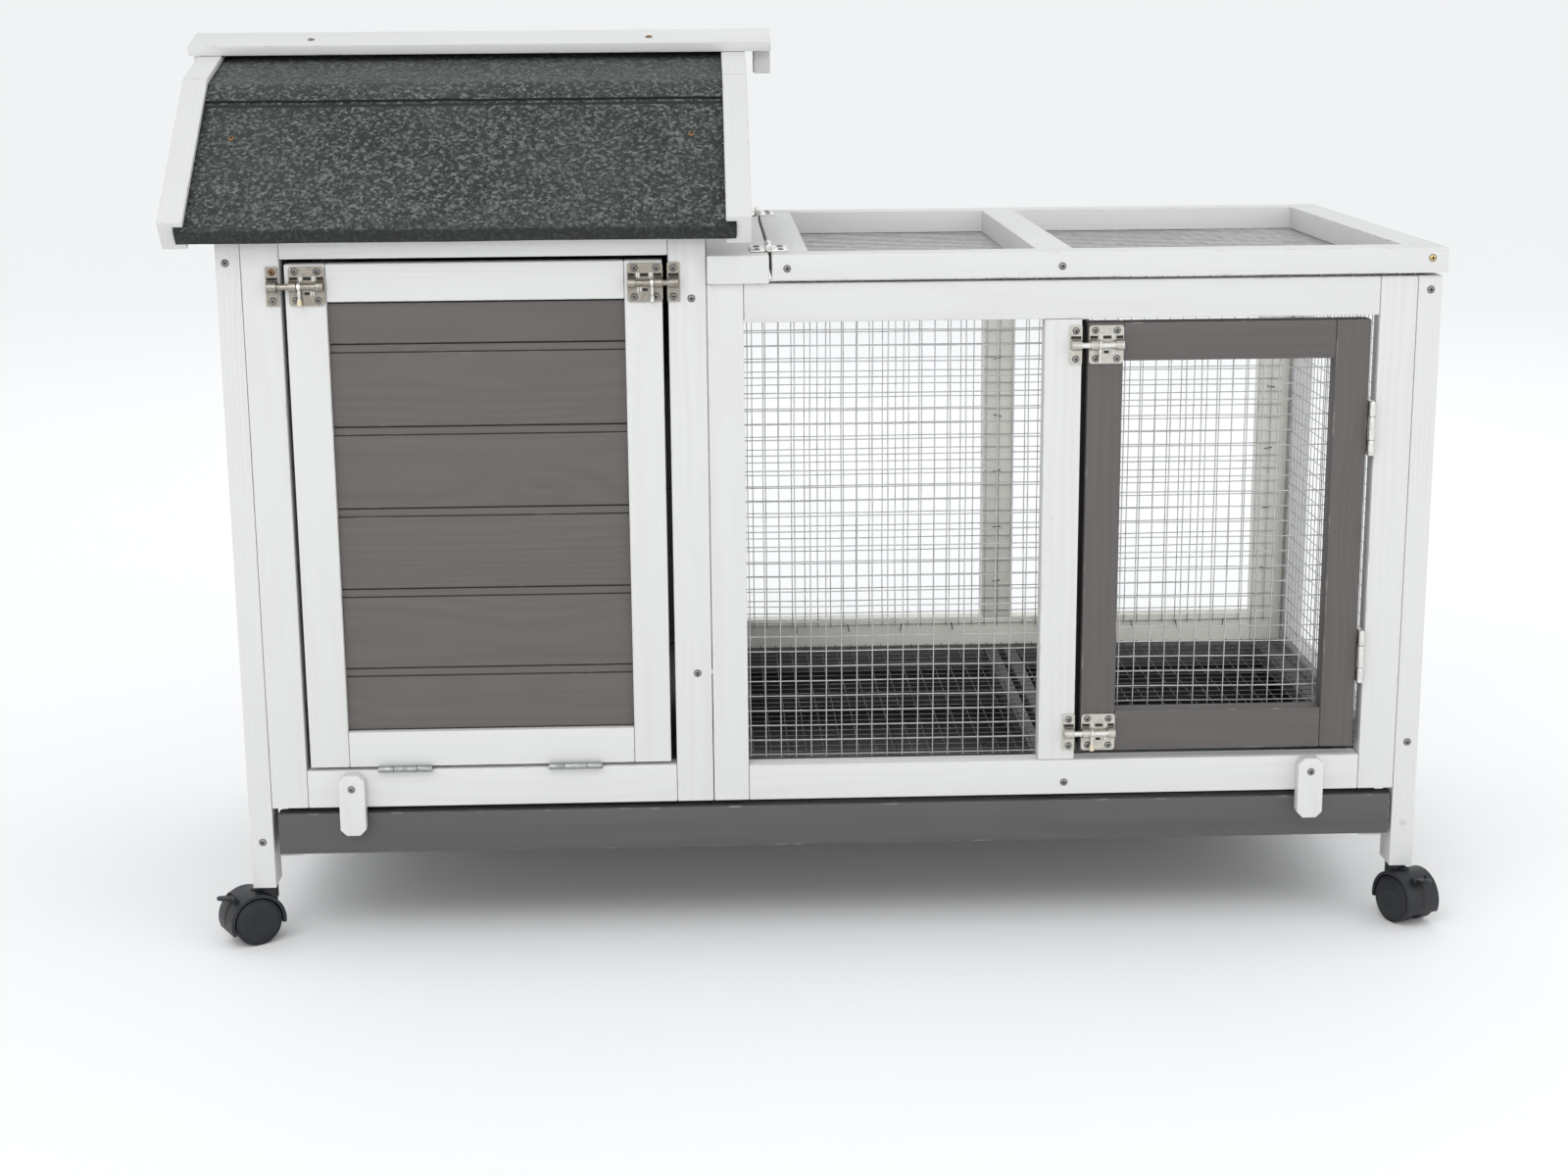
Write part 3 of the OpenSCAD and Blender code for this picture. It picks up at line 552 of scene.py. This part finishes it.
def band(outer, inner, x0, x1):
    """A bent strip across local X, between two rows of (y, z) points."""
    bm = bmesh.new()
    rows = [[bm.verts.new((x, *p)) for p in path] for x in (x0, x1) for path in (outer, inner)]
    out0, in0, out1, in1 = rows
    for k in range(len(outer) - 1):
        bm.faces.new((out0[k], out0[k + 1], in0[k + 1], in0[k]))
        bm.faces.new((out1[k], out1[k + 1], in1[k + 1], in1[k]))
        bm.faces.new((out0[k], out0[k + 1], out1[k + 1], out1[k]))
        bm.faces.new((in0[k], in0[k + 1], in1[k + 1], in1[k]))
    for k in (0, -1):
        bm.faces.new((out0[k], in0[k], in1[k], out1[k]))
    return bm


def rounded(x0, y0, x1, y1, r, steps=4):
    """The outline of a rectangle with rounded corners."""
    out = []
    corners = ((x1 - r, y1 - r), (x0 + r, y1 - r), (x0 + r, y0 + r), (x1 - r, y0 + r))
    for quarter, (cx, cy) in enumerate(corners):
        for k in range(steps + 1):
            a = math.radians(90 * quarter + 90 * k / steps)
            out.append((cx + r * math.cos(a), cy + r * math.sin(a)))
    return out


class Kit:
    """Collects the shapes of one piece, in millimetres, in a frame of its own."""

    def __init__(self, *frames):
        self.bm = bmesh.new()
        self.frame = Matrix()
        for f in frames:
            self.frame = self.frame @ f

    def add(self, part, mat=0, ease=0.0, turn=None):
        if ease:
            ease_edges(part, ease)
        for f in part.faces:
            f.material_index = mat
        if turn is not None:
            part.transform(turn)
        part.transform(self.frame)
        me = bpy.data.meshes.new("part")
        part.to_mesh(me)
        part.free()
        self.bm.from_mesh(me)
        bpy.data.meshes.remove(me)

    def screw(self, place, out, r, mat, dark, spin=20.0, style="cross"):
        """A pan head with its recess, standing on a surface that faces out."""
        turn = Matrix.Translation(place) @ turned(out) @ Matrix.Rotation(math.radians(spin), 4, "X")
        # the dark ring under the head is painted shade
        seat = ((0, 0), (0, r * 1.16), (0.22, r * 1.12), (0.26, r * 0.9), (0.26, 0))
        self.add(lathe(seat, 24), dark, 0, turn)
        self.add(lathe((
            (0.05, 0), (0.05, r * 0.98), (0.5, r * 0.98), (0.85, r * 0.86), (1.12, r * 0.55), (1.18, r * 0.5),
            (1.18, 0),
        ), 24), mat, 0, turn)
        # the dark cross or slot is painted shade standing for the recess
        n, w = r * 0.62, r * 0.17
        self.add(block((0.9, -n, -w), (1.22, n, w)), dark, 0, turn)
        if style == "cross":
            self.add(block((0.9, -w, -n), (1.22, w, n)), dark, 0, turn)

    def done(self, name, body, mats, smooth=32, replaces=None):
        bmesh.ops.recalc_face_normals(self.bm, faces=self.bm.faces)
        self.bm.transform(ROW)
        ob = make_object(name, self.bm, body, mats, smooth)
        if replaces:
            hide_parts(replaces)


# ---- barrel bolts ----

# local Z of a flat outline becomes depth
FLAT = Matrix(((1, 0, 0, 0), (0, 0, 1, 0), (0, 1, 0, 0), (0, 0, 0, 1)))

PLATE_L, PLATE_H, PLATE_T = 28.0, 31.0, 1.4
ROD_Y, ROD_R, KEEPER_L = -5.8, 2.5, 10.0
BOLTS = (
    (56.5, 548.7, -1, 8.0, "house_door"), (350.5, 548.7, 1, 3.5, "house_door"),
    (690.5, 494.5, -1, 5.5, "mesh_door"), (690.5, 171.3, -1, 5.5, "mesh_door"),
)


def bolt_frame(bolt):
    """Local X points from the plate to the keeper, and local Z up."""
    return Matrix.Translation((bolt[0], 0, bolt[1])) @ Matrix.Scale(bolt[2], 4, (1, 0, 0))


def arch(r, foot, spread):
    """Half of a round strap's section and its feet, as (y, z) points."""
    turn = [math.radians(90 + 180 * k / 12) for k in range(13)]
    path = [(ROD_Y + r * math.cos(a), r * math.sin(a)) for a in turn]
    return [(foot, spread), *path, (foot, -spread)]


def strap(kit, x0, x1, mat=0):
    kit.add(band(arch(4.1, -PLATE_T + 0.2, 4.5), arch(2.62, -PLATE_T + 0.2, 3.1), x0, x1), mat, 0.35)


# a dark mark where the plate has a slot: painted shade
def slot_mark(kit, x0, x1, z0, z1):
    kit.add(block((x0, -PLATE_T - 0.06, z0), (x1, -PLATE_T + 0.3, z1)), 1)


# the ribs are pressed from the plate; their brighter material is a painted highlight
def rib(kit, x, z0, z1):
    kit.add(lathe(((z0, 0), (z0, 0.6), (z0 + 0.5, 0.95), (z1 - 0.5, 0.95), (z1, 0.6), (z1, 0)), 12), 2, 0,
            Matrix.Translation((x, -PLATE_T - 0.15, 0)) @ turned((0, 0, 1)))


def bolt_plate(kit):
    h = PLATE_H / 2
    kit.add(prism(rounded(-PLATE_L, -h, 0, h, 2.6), -PLATE_T, -0.02), 0, 0.3, FLAT)
    strap(kit, -6.5, -0.5)
    strap(kit, -PLATE_L + 0.5, -PLATE_L + 6.5)
    for x0, x1 in ((-7.0, -0.7), (-17.6, -11.4), (-27.4, -22.0)):
        slot_mark(kit, x0, x1, 4.7, 7.2)
    slot_mark(kit, -16.0, -12.0, -7.0, -4.7)
    for x in (-8.6, -10.2, -18.8, -20.4):
        rib(kit, x, 3.0, 8.2)
    for x in (-17.4, -19.4):
        rib(kit, x, -7.6, -3.0)
    for k, (x, z) in enumerate(((-5.0, 11.6), (-22.4, 11.4), (-5.4, -11.2), (-22.6, -11.3))):
        kit.screw((x, -PLATE_T, z), (0, -1, 0), 2.5, 3, 1, 25 + 40 * k)


def keeper(kit, gap, seed, mat):
    h = PLATE_H / 2
    kit.add(prism(rounded(gap, -h, gap + KEEPER_L, h, 0.7, 2), -PLATE_T, -0.02), mat, 0.25, FLAT)
    strap(kit, gap + 1.2, gap + KEEPER_L - 1.2, mat)
    slot_mark(kit, gap + 0.8, gap + KEEPER_L - 0.8, 4.7, 7.0)
    kit.screw((gap + 5, -PLATE_T, 11.2), (0, -1, 0), 2.5, 3 if seed else 4, 1, 15 + 30 * seed)
    kit.screw((gap + 5, -PLATE_T, -11.4), (0, -1, 0), 2.5, 3, 1, 60 + 30 * seed)


for body in ("house_door", "mesh_door"):
    kit = Kit()
    for b in (b for b in BOLTS if b[4] == body):
        kit.frame = bolt_frame(b)
        bolt_plate(kit)
    plate = NICKEL if body == "house_door" else PALE
    kit.done(body + "_plates_looks", body, [plate, RECESS_SHADE, BRIGHT, ZINC], 32, body + "_plates")

kit = Kit()
for k, b in enumerate(BOLTS):
    kit.frame = bolt_frame(b)
    keeper(kit, b[3], k, 0 if k < 2 else 5)
keeper_mats = [NICKEL, RECESS_SHADE, BRIGHT, ZINC, RUST, PALE]
kit.done("bolt_keepers_looks", "hutch", keeper_mats, 32, "bolt_keepers")

for k, b in enumerate(BOLTS):
    shine = NICKEL if k < 2 else BRIGHT
    kit = Kit(bolt_frame(b), Matrix.Translation((0, ROD_Y, 0)))
    t0, t1 = 1 - PLATE_L, b[3] + KEEPER_L - 1
    kit.add(lathe((
        (t0, 0), (t0, 1.9), (t0 + 0.6, ROD_R), (t1 - 3.2, ROD_R), (t1 - 2.9, ROD_R - 0.25),
        (t1 - 2.5, ROD_R - 0.25), (t1 - 2.2, ROD_R), (t1 - 1.2, ROD_R), (t1, 1.6), (t1, 0),
    ), 32))
    kit.done("bolt_rod_%d_looks" % (k + 1), BODY_OF["bolt_rod_%d" % (k + 1)], [shine], 32,
             "bolt_rod_%d" % (k + 1))

    kit = Kit(bolt_frame(b), Matrix.Translation((-8.4, ROD_Y, 0)))
    kit.add(lathe(((-1.5, 2.56), (-1.5, 3.1), (-1.1, 3.5), (1.1, 3.5), (1.5, 3.1), (1.5, 2.56)), 32))
    down = turned((0, 0, -1))
    kit.add(lathe(((2.4, 0), (2.4, 1.7), (5.0, 1.5), (9.6, 1.25), (13.6, 1.2), (13.6, 0)), 20), 0, 0, down)
    if k == 2:
        kit.add(lathe(((13.0, 0), (13.0, 1.2), (14.4, 1.2), (15.0, 0.7), (15.0, 0)), 20), 0, 0, down)
    else:
        kit.add(lathe((
            (9.8, 0), (9.8, 1.4), (10.3, 1.9), (12.6, 1.75), (14.4, 2.0), (15.0, 1.4), (15.05, 0),
        ), 20), 1, 0, down)
    tip = (CREAM, BRIGHT, BRIGHT, CREAM)[k]
    kit.done("bolt_knob_%d_looks" % (k + 1), BODY_OF["bolt_knob_%d" % (k + 1)], [BRIGHT, tip], 32,
             "bolt_knob_%d" % (k + 1))


# ---- hinges ----


def with_kit(node, ease, fill, mats):
    """Stands for a CAD node: its solids with eased edges, and more shapes added by fill."""
    bm = cad_copy(node)
    ease_edges(bm, ease * MM)
    bm.transform(ROW.inverted())
    kit = Kit()
    me = bpy.data.meshes.new("part")
    bm.to_mesh(me)
    bm.free()
    kit.bm.from_mesh(me)
    bpy.data.meshes.remove(me)
    fill(kit)
    kit.done(node + "_looks", BODY_OF[node], mats, 32, node)


PIN_X, LID_TOP = 435.6, 569.3
LID_HINGES = (42.0, 390.0)


def lid_hinge_screws(kit, x):
    for y in LID_HINGES:
        for k, s in enumerate((-13, 13)):
            kit.screw((x, y + s, LID_TOP + 1.0), (0, 0, 1), 2.4, 1, 2, 30 + 50 * k, "slot")


def fixed_leaf_screws(kit):
    # the house door's hinges, low down, are duller than the lid's
    for f in kit.bm.faces:
        if f.calc_center_median().z < 200:
            f.material_index = 3
    lid_hinge_screws(kit, PIN_X - 9.4)


def lid_leaf_screws(kit):
    lid_hinge_screws(kit, PIN_X + 9.6)


with_kit("fixed_hinge_leaves", 0.25, fixed_leaf_screws, [BRIGHT, ZINC, RECESS_SHADE, STEEL])
with_kit("lid_leaves", 0.25, lid_leaf_screws, [BRIGHT, ZINC, RECESS_SHADE])
with_kit("house_door_leaves", 0.25, lambda kit: None, [STEEL])
with_kit("mesh_door_leaves", 0.25, lambda kit: None, [BRIGHT])


# ---- screws on the front, the lid and the ridge cap ----

SCREW_MATS = [ZINC, RECESS_SHADE, RUST, BRASS, PLUG]
kit = Kit()
for k, (x, z, mat) in enumerate((
    (7.5, 567.3, 0), (10, 88.3, 0), (373, 535.3, 0), (373, 227.3, 0), (965, 535.3, 0), (965, 157.3, 0),
    (965, 87.3, 4), (677, 127.8, 0),
)):
    kit.screw((x, -0.02, z), (0, -1, 0), 2.7, mat, 4 if mat == 4 else 1, 25 + 37 * k)
for k, x in enumerate((87.0, 882.0)):
    kit.screw((x, -11.42, 136.3), (0, -1, 0), 2.6, 0, 1, 40 + 30 * k)
    shank = Matrix.Translation((x, -0.1, 136.3)) @ turned((0, -1, 0))
    kit.add(lathe(((0, 0), (0, 2.0), (11.6, 2.0), (11.6, 0)), 20), 0, 0, shank)
for k, (x, y) in enumerate(((55.0, 190.0), (340.0, 190.0), (55.0, 242.0), (340.0, 242.0))):
    lean = SHALLOW * (-1 if y < ROOF_MIDDLE else 1)
    z = CAP_SCREW_TOP - abs(ROOF_MIDDLE - y) * math.tan(SHALLOW)
    kit.screw((x, y, z), (0, math.sin(lean), math.cos(lean)), 2.8, 2 if k % 2 else 0, 1, 20 + 45 * k)
for k, (x, y) in enumerate(((7.0, 60.0), (375.0, 60.0), (7.0, 372.0), (375.0, 372.0))):
    lean = STEEP * (-1 if y < ROOF_MIDDLE else 1)
    z = FELT_SCREW_TOP - (abs(ROOF_MIDDLE - y) - FOLD_AWAY) * math.tan(STEEP)
    kit.screw((x, y, z), (0, math.sin(lean), math.cos(lean)), 2.7, 2, 1, 30 + 40 * k)
kit.done("screws_looks", "hutch", SCREW_MATS, 32, "screws")

kit = Kit()
for k, (x, z, mat) in enumerate(((449.0, 558.3, 0), (667.6, 557.8, 0), (964.0, 560.9, 3))):
    kit.screw((x, -4.02, z), (0, -1, 0), 2.6, mat, 1, 15 + 40 * k)
kit.done("lid_screws", "lid", SCREW_MATS, 32)


# ---- the mesh door's stop, and staples that hold the wire ----

kit = Kit()
# the stop is coloured near-black as painted shade in the gap beside the mesh door
kit.add(block((682.5, 19.6, 156.0), (694.0, 25.0, 512.0)), 0, 0.6)
kit.add(block((684.0, 24.8, 162.0), (692.0, 25.6, 506.0)), 0, 0.3)
kit.done("mesh_door_stop", "hutch", [SHADE_BLACK])


def staples(kit, places, across):
    """Wire staples on the inside of a frame; across says which way each lies."""
    rng = random.Random(77)
    for x, y, z in places:
        turn = Matrix.Translation((x + rng.uniform(-1, 1), y, z + rng.uniform(-1, 1)))
        turn = turn @ Matrix.Rotation(rng.uniform(-0.35, 0.35), 4, "Y") @ across
        kit.add(lathe(((-3.6, 0), (-3.6, 0.5), (3.6, 0.5), (3.6, 0)), 8), 0, 0, turn)
        for end in (-3.4, 3.4):
            leg = turn @ Matrix.Translation((end, 0, 0)) @ Matrix.Rotation(math.radians(90), 4, "Z")
            kit.add(lathe(((-0.4, 0), (-0.4, 0.5), (1.4, 0.5), (1.4, 0)), 8), 0, 0, leg)


kit = Kit()
inner, rail_z = 411.4, 158.5
low_rail = [(418 + 52 * i, inner, rail_z) for i in range(5)]
low_rail += [(712 + 46 * i, inner, rail_z) for i in range(5)]
posts = [(668, inner, 205 + 55 * i) for i in range(6)] + [(936, inner, 215 + 60 * i) for i in range(5)]
staples(kit, low_rail, Matrix.Rotation(math.radians(90), 4, "Y"))
staples(kit, posts, Matrix())
kit.done("wire_staples", "hutch", [FLOOR_WIRE])


# ---- casters ----

CASTERS = ((9.5, 15, 210), (964.5, 15, -66), (9.5, 417, 66), (964.5, 417, 118))
TRAIL, WHEEL_R, HOOD_R = 15.0, 20.0, 24.0
LEVER = (TRAIL + 26.2 * math.cos(math.radians(50)), WHEEL_R + 26.2 * math.sin(math.radians(50)))


def on_hood(r, a, y):
    """A point at an angle round the axle, above the horizontal at the hood's back."""
    return (TRAIL + r * math.cos(math.radians(a)), y, WHEEL_R + r * math.sin(math.radians(a)))


def hood_patch(kit, a0, a1, first, last, mat, lift=0.1, sunk=0.6, steps=8):
    """A thin patch that follows the hood's back, from one pair of sides to another."""
    bm = bmesh.new()
    rows = []
    for k in range(steps + 1):
        t = k / steps
        a = a0 + (a1 - a0) * t
        y0, y1 = (p + (q - p) * t for p, q in zip(first, last))
        rows.append([bm.verts.new(on_hood(r, a, y)) for r, y in (
            (HOOD_R + lift, y0), (HOOD_R + lift, y1), (HOOD_R - sunk, y1), (HOOD_R - sunk, y0))])
    for a, b in zip(rows, rows[1:]):
        for k in range(4):
            j = (k + 1) % 4
            bm.faces.new((a[k], a[j], b[j], b[k]))
    bm.faces.new(rows[0])
    bm.faces.new(rows[-1])
    kit.add(bm, mat)


for k, (x, y, turn) in enumerate(CASTERS):
    place = Matrix.Translation((x, y, 0)) @ Matrix.Rotation(math.radians(turn), 4, "Z")

    def hood_detail(kit):
        kit.frame = place
        # the T-shaped slot that the brake lever moves in, drawn as dark patches of painted shade
        hood_patch(kit, -8, 43, (-1.6, 1.6), (-2.6, 2.6), 1)
        hood_patch(kit, 43, 57, (-6.5, 6.5), (-6.5, 6.5), 1)
        hood_patch(kit, -9, 100, (-0.5, 0.5), (-0.5, 0.5), 0, 0.02)
        # a raised bead along each edge of the hood
        for side in (-1, 1):
            bead = (side * 15.1, side * 15.9)
            hood_patch(kit, -10, 180, bead, bead, 0, 0.05, 0.95, 32)

    n = k + 1
    with_kit("caster_hood_%d" % n, 0.4, hood_detail, [HOOD, RECESS_SHADE])

    kit = Kit(place, Matrix.Translation((TRAIL, 0, WHEEL_R)))
    for side in (-1, 1):
        kit.add(lathe((
            (3.2, 0), (3.2, 17.8), (3.8, 19.4), (4.9, 20.0), (9.6, 20.0), (9.8, 19.85), (10.0, 20.0),
            (15.0, 20.0), (15.8, 19.6), (16.2, 18.9), (16.1, 18.4), (15.7, 18.2), (16.0, 17.9), (16.35, 17.2),
            (16.45, 9.0), (16.45, 4.6), (16.3, 4.3), (16.4, 3.9), (16.48, 0),
        ), 64), 0, 0, turned((0, side, 0)))
    kit.add(lathe(((-4, 0), (-4, 2.5), (4, 2.5), (4, 0)), 24), 0, 0, turned((0, 1, 0)))
    kit.done("caster_wheels_%d_looks" % n, BODY_OF["caster_wheels_%d" % n], [WHEEL], 28,
             "caster_wheels_%d" % n)

    kit = Kit(place, Matrix.Translation((LEVER[0], 0, LEVER[1])))
    pin = ((-8.2, 0), (-8.2, 0.7), (-7.9, 1.0), (7.9, 1.0), (8.2, 0.7), (8.2, 0))
    kit.add(lathe(pin, 18), 0, 0, turned((0, 1, 0)))
    barrel = ((-5, 0), (-5, 1.3), (-4.6, 1.7), (4.6, 1.7), (5, 1.3), (5, 0))
    kit.add(lathe(barrel, 20), 0, 0, turned((0, 1, 0)))
    half = [(0.5, 4.6), (9.0, 4.2), (11.6, 2.9), (12.8, 1.2)]
    tab = [(x, -y) for x, y in half] + half[::-1]
    lean = Matrix.Rotation(math.radians(-10), 4, "Y")
    kit.add(prism(tab, -1.1, 1.1), 0, 0.35, lean)
    for i in range(3):
        x, w = 6.4 + 1.9 * i, 2.6 - 0.4 * i
        kit.add(block((x, -w, 0.8), (x + 0.8, w, 1.35)), 0, 0.15, lean)
    kit.done("brake_lever_%d_looks" % n, BODY_OF["brake_lever_%d" % n], [HOOD], 32,
             "brake_lever_%d" % n)


# ---- the tray's pan ----

low, high = (ROW.inverted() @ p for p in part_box("tray_pan"))
kit = Kit()


def pan_ring(bm, inset, z, r):
    return [bm.verts.new((x, y, z)) for x, y in rounded(
        low.x + inset, low.y + inset, high.x - inset, high.y - inset, max(r - inset, 1.0), 6)]


bm = bmesh.new()
rings = [pan_ring(bm, i, z, 10) for i, z in (
    (2.2, low.z), (1.4, low.z + 0.8), (0.9, high.z - 4.0), (0.0, high.z - 3.4), (0.0, high.z - 0.6),
    (0.5, high.z), (2.4, high.z), (2.9, high.z - 0.6), (3.0, low.z + 3.2), (3.8, low.z + 1.6),
)]
for a, b in zip(rings, rings[1:]):
    for k in range(len(a)):
        j = (k + 1) % len(a)
        bm.faces.new((a[k], a[j], b[j], b[k]))
bm.faces.new(rings[0])
bm.faces.new(rings[-1])
kit.add(bm)
count = 18
for k in range(count):
    x = low.x + 40 + (high.x - low.x - 80) * k / (count - 1)
    kit.add(block((x - 3, low.y + 22, low.z + 1.4), (x + 3, high.y - 22, low.z + 2.6)), 0, 0.5)
kit.done("tray_pan_looks", "tray", [PAN], 35, "tray_pan")


# ---- roofing felt ----



def cut(bm, place, normal):
    geom = bm.verts[:] + bm.edges[:] + bm.faces[:]
    bmesh.ops.bisect_plane(bm, geom=geom, plane_co=place, plane_no=normal)


bm = cad_copy("roof_felt")
low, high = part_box("roof_felt")
FELT_STEP = 0.009
for axis in (0, 1):
    n = int((high[axis] - low[axis]) / FELT_STEP)
    for k in range(1, n):
        place = low.copy()
        place[axis] = low[axis] + (high[axis] - low[axis]) * k / n
        cut(bm, place, Vector((axis == 0, axis == 1, 0)))
middle = (low.y + high.y) / 2
for away in (-0.126, 0.126):
    cut(bm, Vector((0, middle + away, 0)), (0, 1, 0))
for v in bm.verts:
    side = -1 if v.co.y < middle else 1
    across = abs(v.co.y - middle)
    steep = across > 0.1055
    slope = STEEP if steep else SHALLOW
    out = Vector((0, side * math.sin(slope), math.cos(slope)))
    down = Vector((0, side * math.cos(slope), -math.sin(slope)))
    wave = noise.noise(Vector((v.co.x * 16, v.co.y * 16, 3))) * 0.00045 + noise.noise(v.co * 60) * 0.00018
    v.co += out * wave
    if steep and 0.1185 < across < 0.1235:
        # the cut edge of the lap wanders
        slow, quick = (noise.noise(Vector((v.co.x * q, side, seed))) for q, seed in ((35, 9), (140, 2)))
        v.co += down * (slow * 0.0011 + quick * 0.0005)
for f in bm.faces:
    # painted shadow under the lap's edge: these faces are coloured near-black
    c = f.calc_center_median()
    if 0.1195 < abs(c.y - middle) < 0.1262:
        f.material_index = 1
ob = make_object("roof_felt_sheets", bm, "hutch", [FELT, SHADE_BLACK], 32)
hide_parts("roof_felt")


# ---- stage, light and camera ----


def stage():
    bm = bmesh.new()
    bmesh.ops.create_grid(bm, x_segments=1, y_segments=1, size=400.0)
    me = bpy.data.meshes.new("floor")
    bm.to_mesh(me)
    bm.free()
    m = Nodes("floor_paper")
    where = object_coords(m)
    soft = m.noise(where, 3.0, 2.0)
    m.finish(m.mix(soft, (0.955, 0.957, 0.960), (0.965, 0.967, 0.970)), m.span(soft, 0, 1, 0.85, 0.95))
    me.materials.append(m.mat)
    floor = bpy.data.objects.new("floor", me)
    bpy.context.scene.collection.objects.link(floor)

    world = bpy.data.worlds.new("studio")
    bpy.context.scene.world = world
    world.use_nodes = True
    back = world.node_tree.nodes["Background"]
    back.inputs["Color"].default_value = (0.97, 0.985, 1.0, 1.0)
    back.inputs["Strength"].default_value = 0.90

    def panel(name, place, aim, size, watts, color=(1.0, 1.0, 1.0)):
        light = bpy.data.lights.new(name, "AREA")
        light.shape = "RECTANGLE"
        light.size, light.size_y = size
        light.energy = watts
        light.color = color
        ob = bpy.data.objects.new(name, light)
        bpy.context.scene.collection.objects.link(ob)
        ob.location = place
        ob.rotation_euler = (Vector(aim) - Vector(place)).to_track_quat("-Z", "Y").to_euler()

    sun = bpy.data.lights.new("front", "SUN")
    sun.energy = 0.42
    sun.angle = math.radians(18)
    ob = bpy.data.objects.new("front", sun)
    bpy.context.scene.collection.objects.link(ob)
    ob.rotation_euler = (math.radians(74), 0, math.radians(-8))

    panel("key", (-1.2, -2.6, 3.0), (0, 0, 0.35), (2.4, 1.8), 26)
    panel("fill", (2.6, -2.0, 1.6), (0.2, 0, 0.3), (2.0, 2.0), 9)
    panel("back", (0.4, 2.8, 2.4), (0, 0, 0.4), (2.6, 1.6), 10)


def camera():
    yaw, pitch, roll = math.radians(1.936), math.radians(13.331), math.radians(-0.475)
    ahead = Vector((math.sin(yaw) * math.cos(pitch), math.cos(yaw) * math.cos(pitch), -math.sin(pitch)))
    right = Vector((math.cos(yaw), -math.sin(yaw), 0))
    up = right.cross(ahead)
    right2 = right * math.cos(roll) + up * math.sin(roll)
    up2 = up * math.cos(roll) - right * math.sin(roll)
    cam = bpy.data.cameras.new("camera")
    cam.sensor_width = 36.0
    cam.lens = 56.37
    cam.clip_end = 1000.0
    ob = bpy.data.objects.new("camera", cam)
    bpy.context.scene.collection.objects.link(ob)
    turn = Matrix((right2, up2, -ahead)).transposed()
    ob.matrix_world = Matrix.Translation(at(378.7, -1948.7, 760.2)) @ turn.to_4x4()
    bpy.context.scene.camera = ob


stage()
camera()
bpy.context.scene.view_settings.view_transform = "Standard"

bpy.context.view_layer.update()
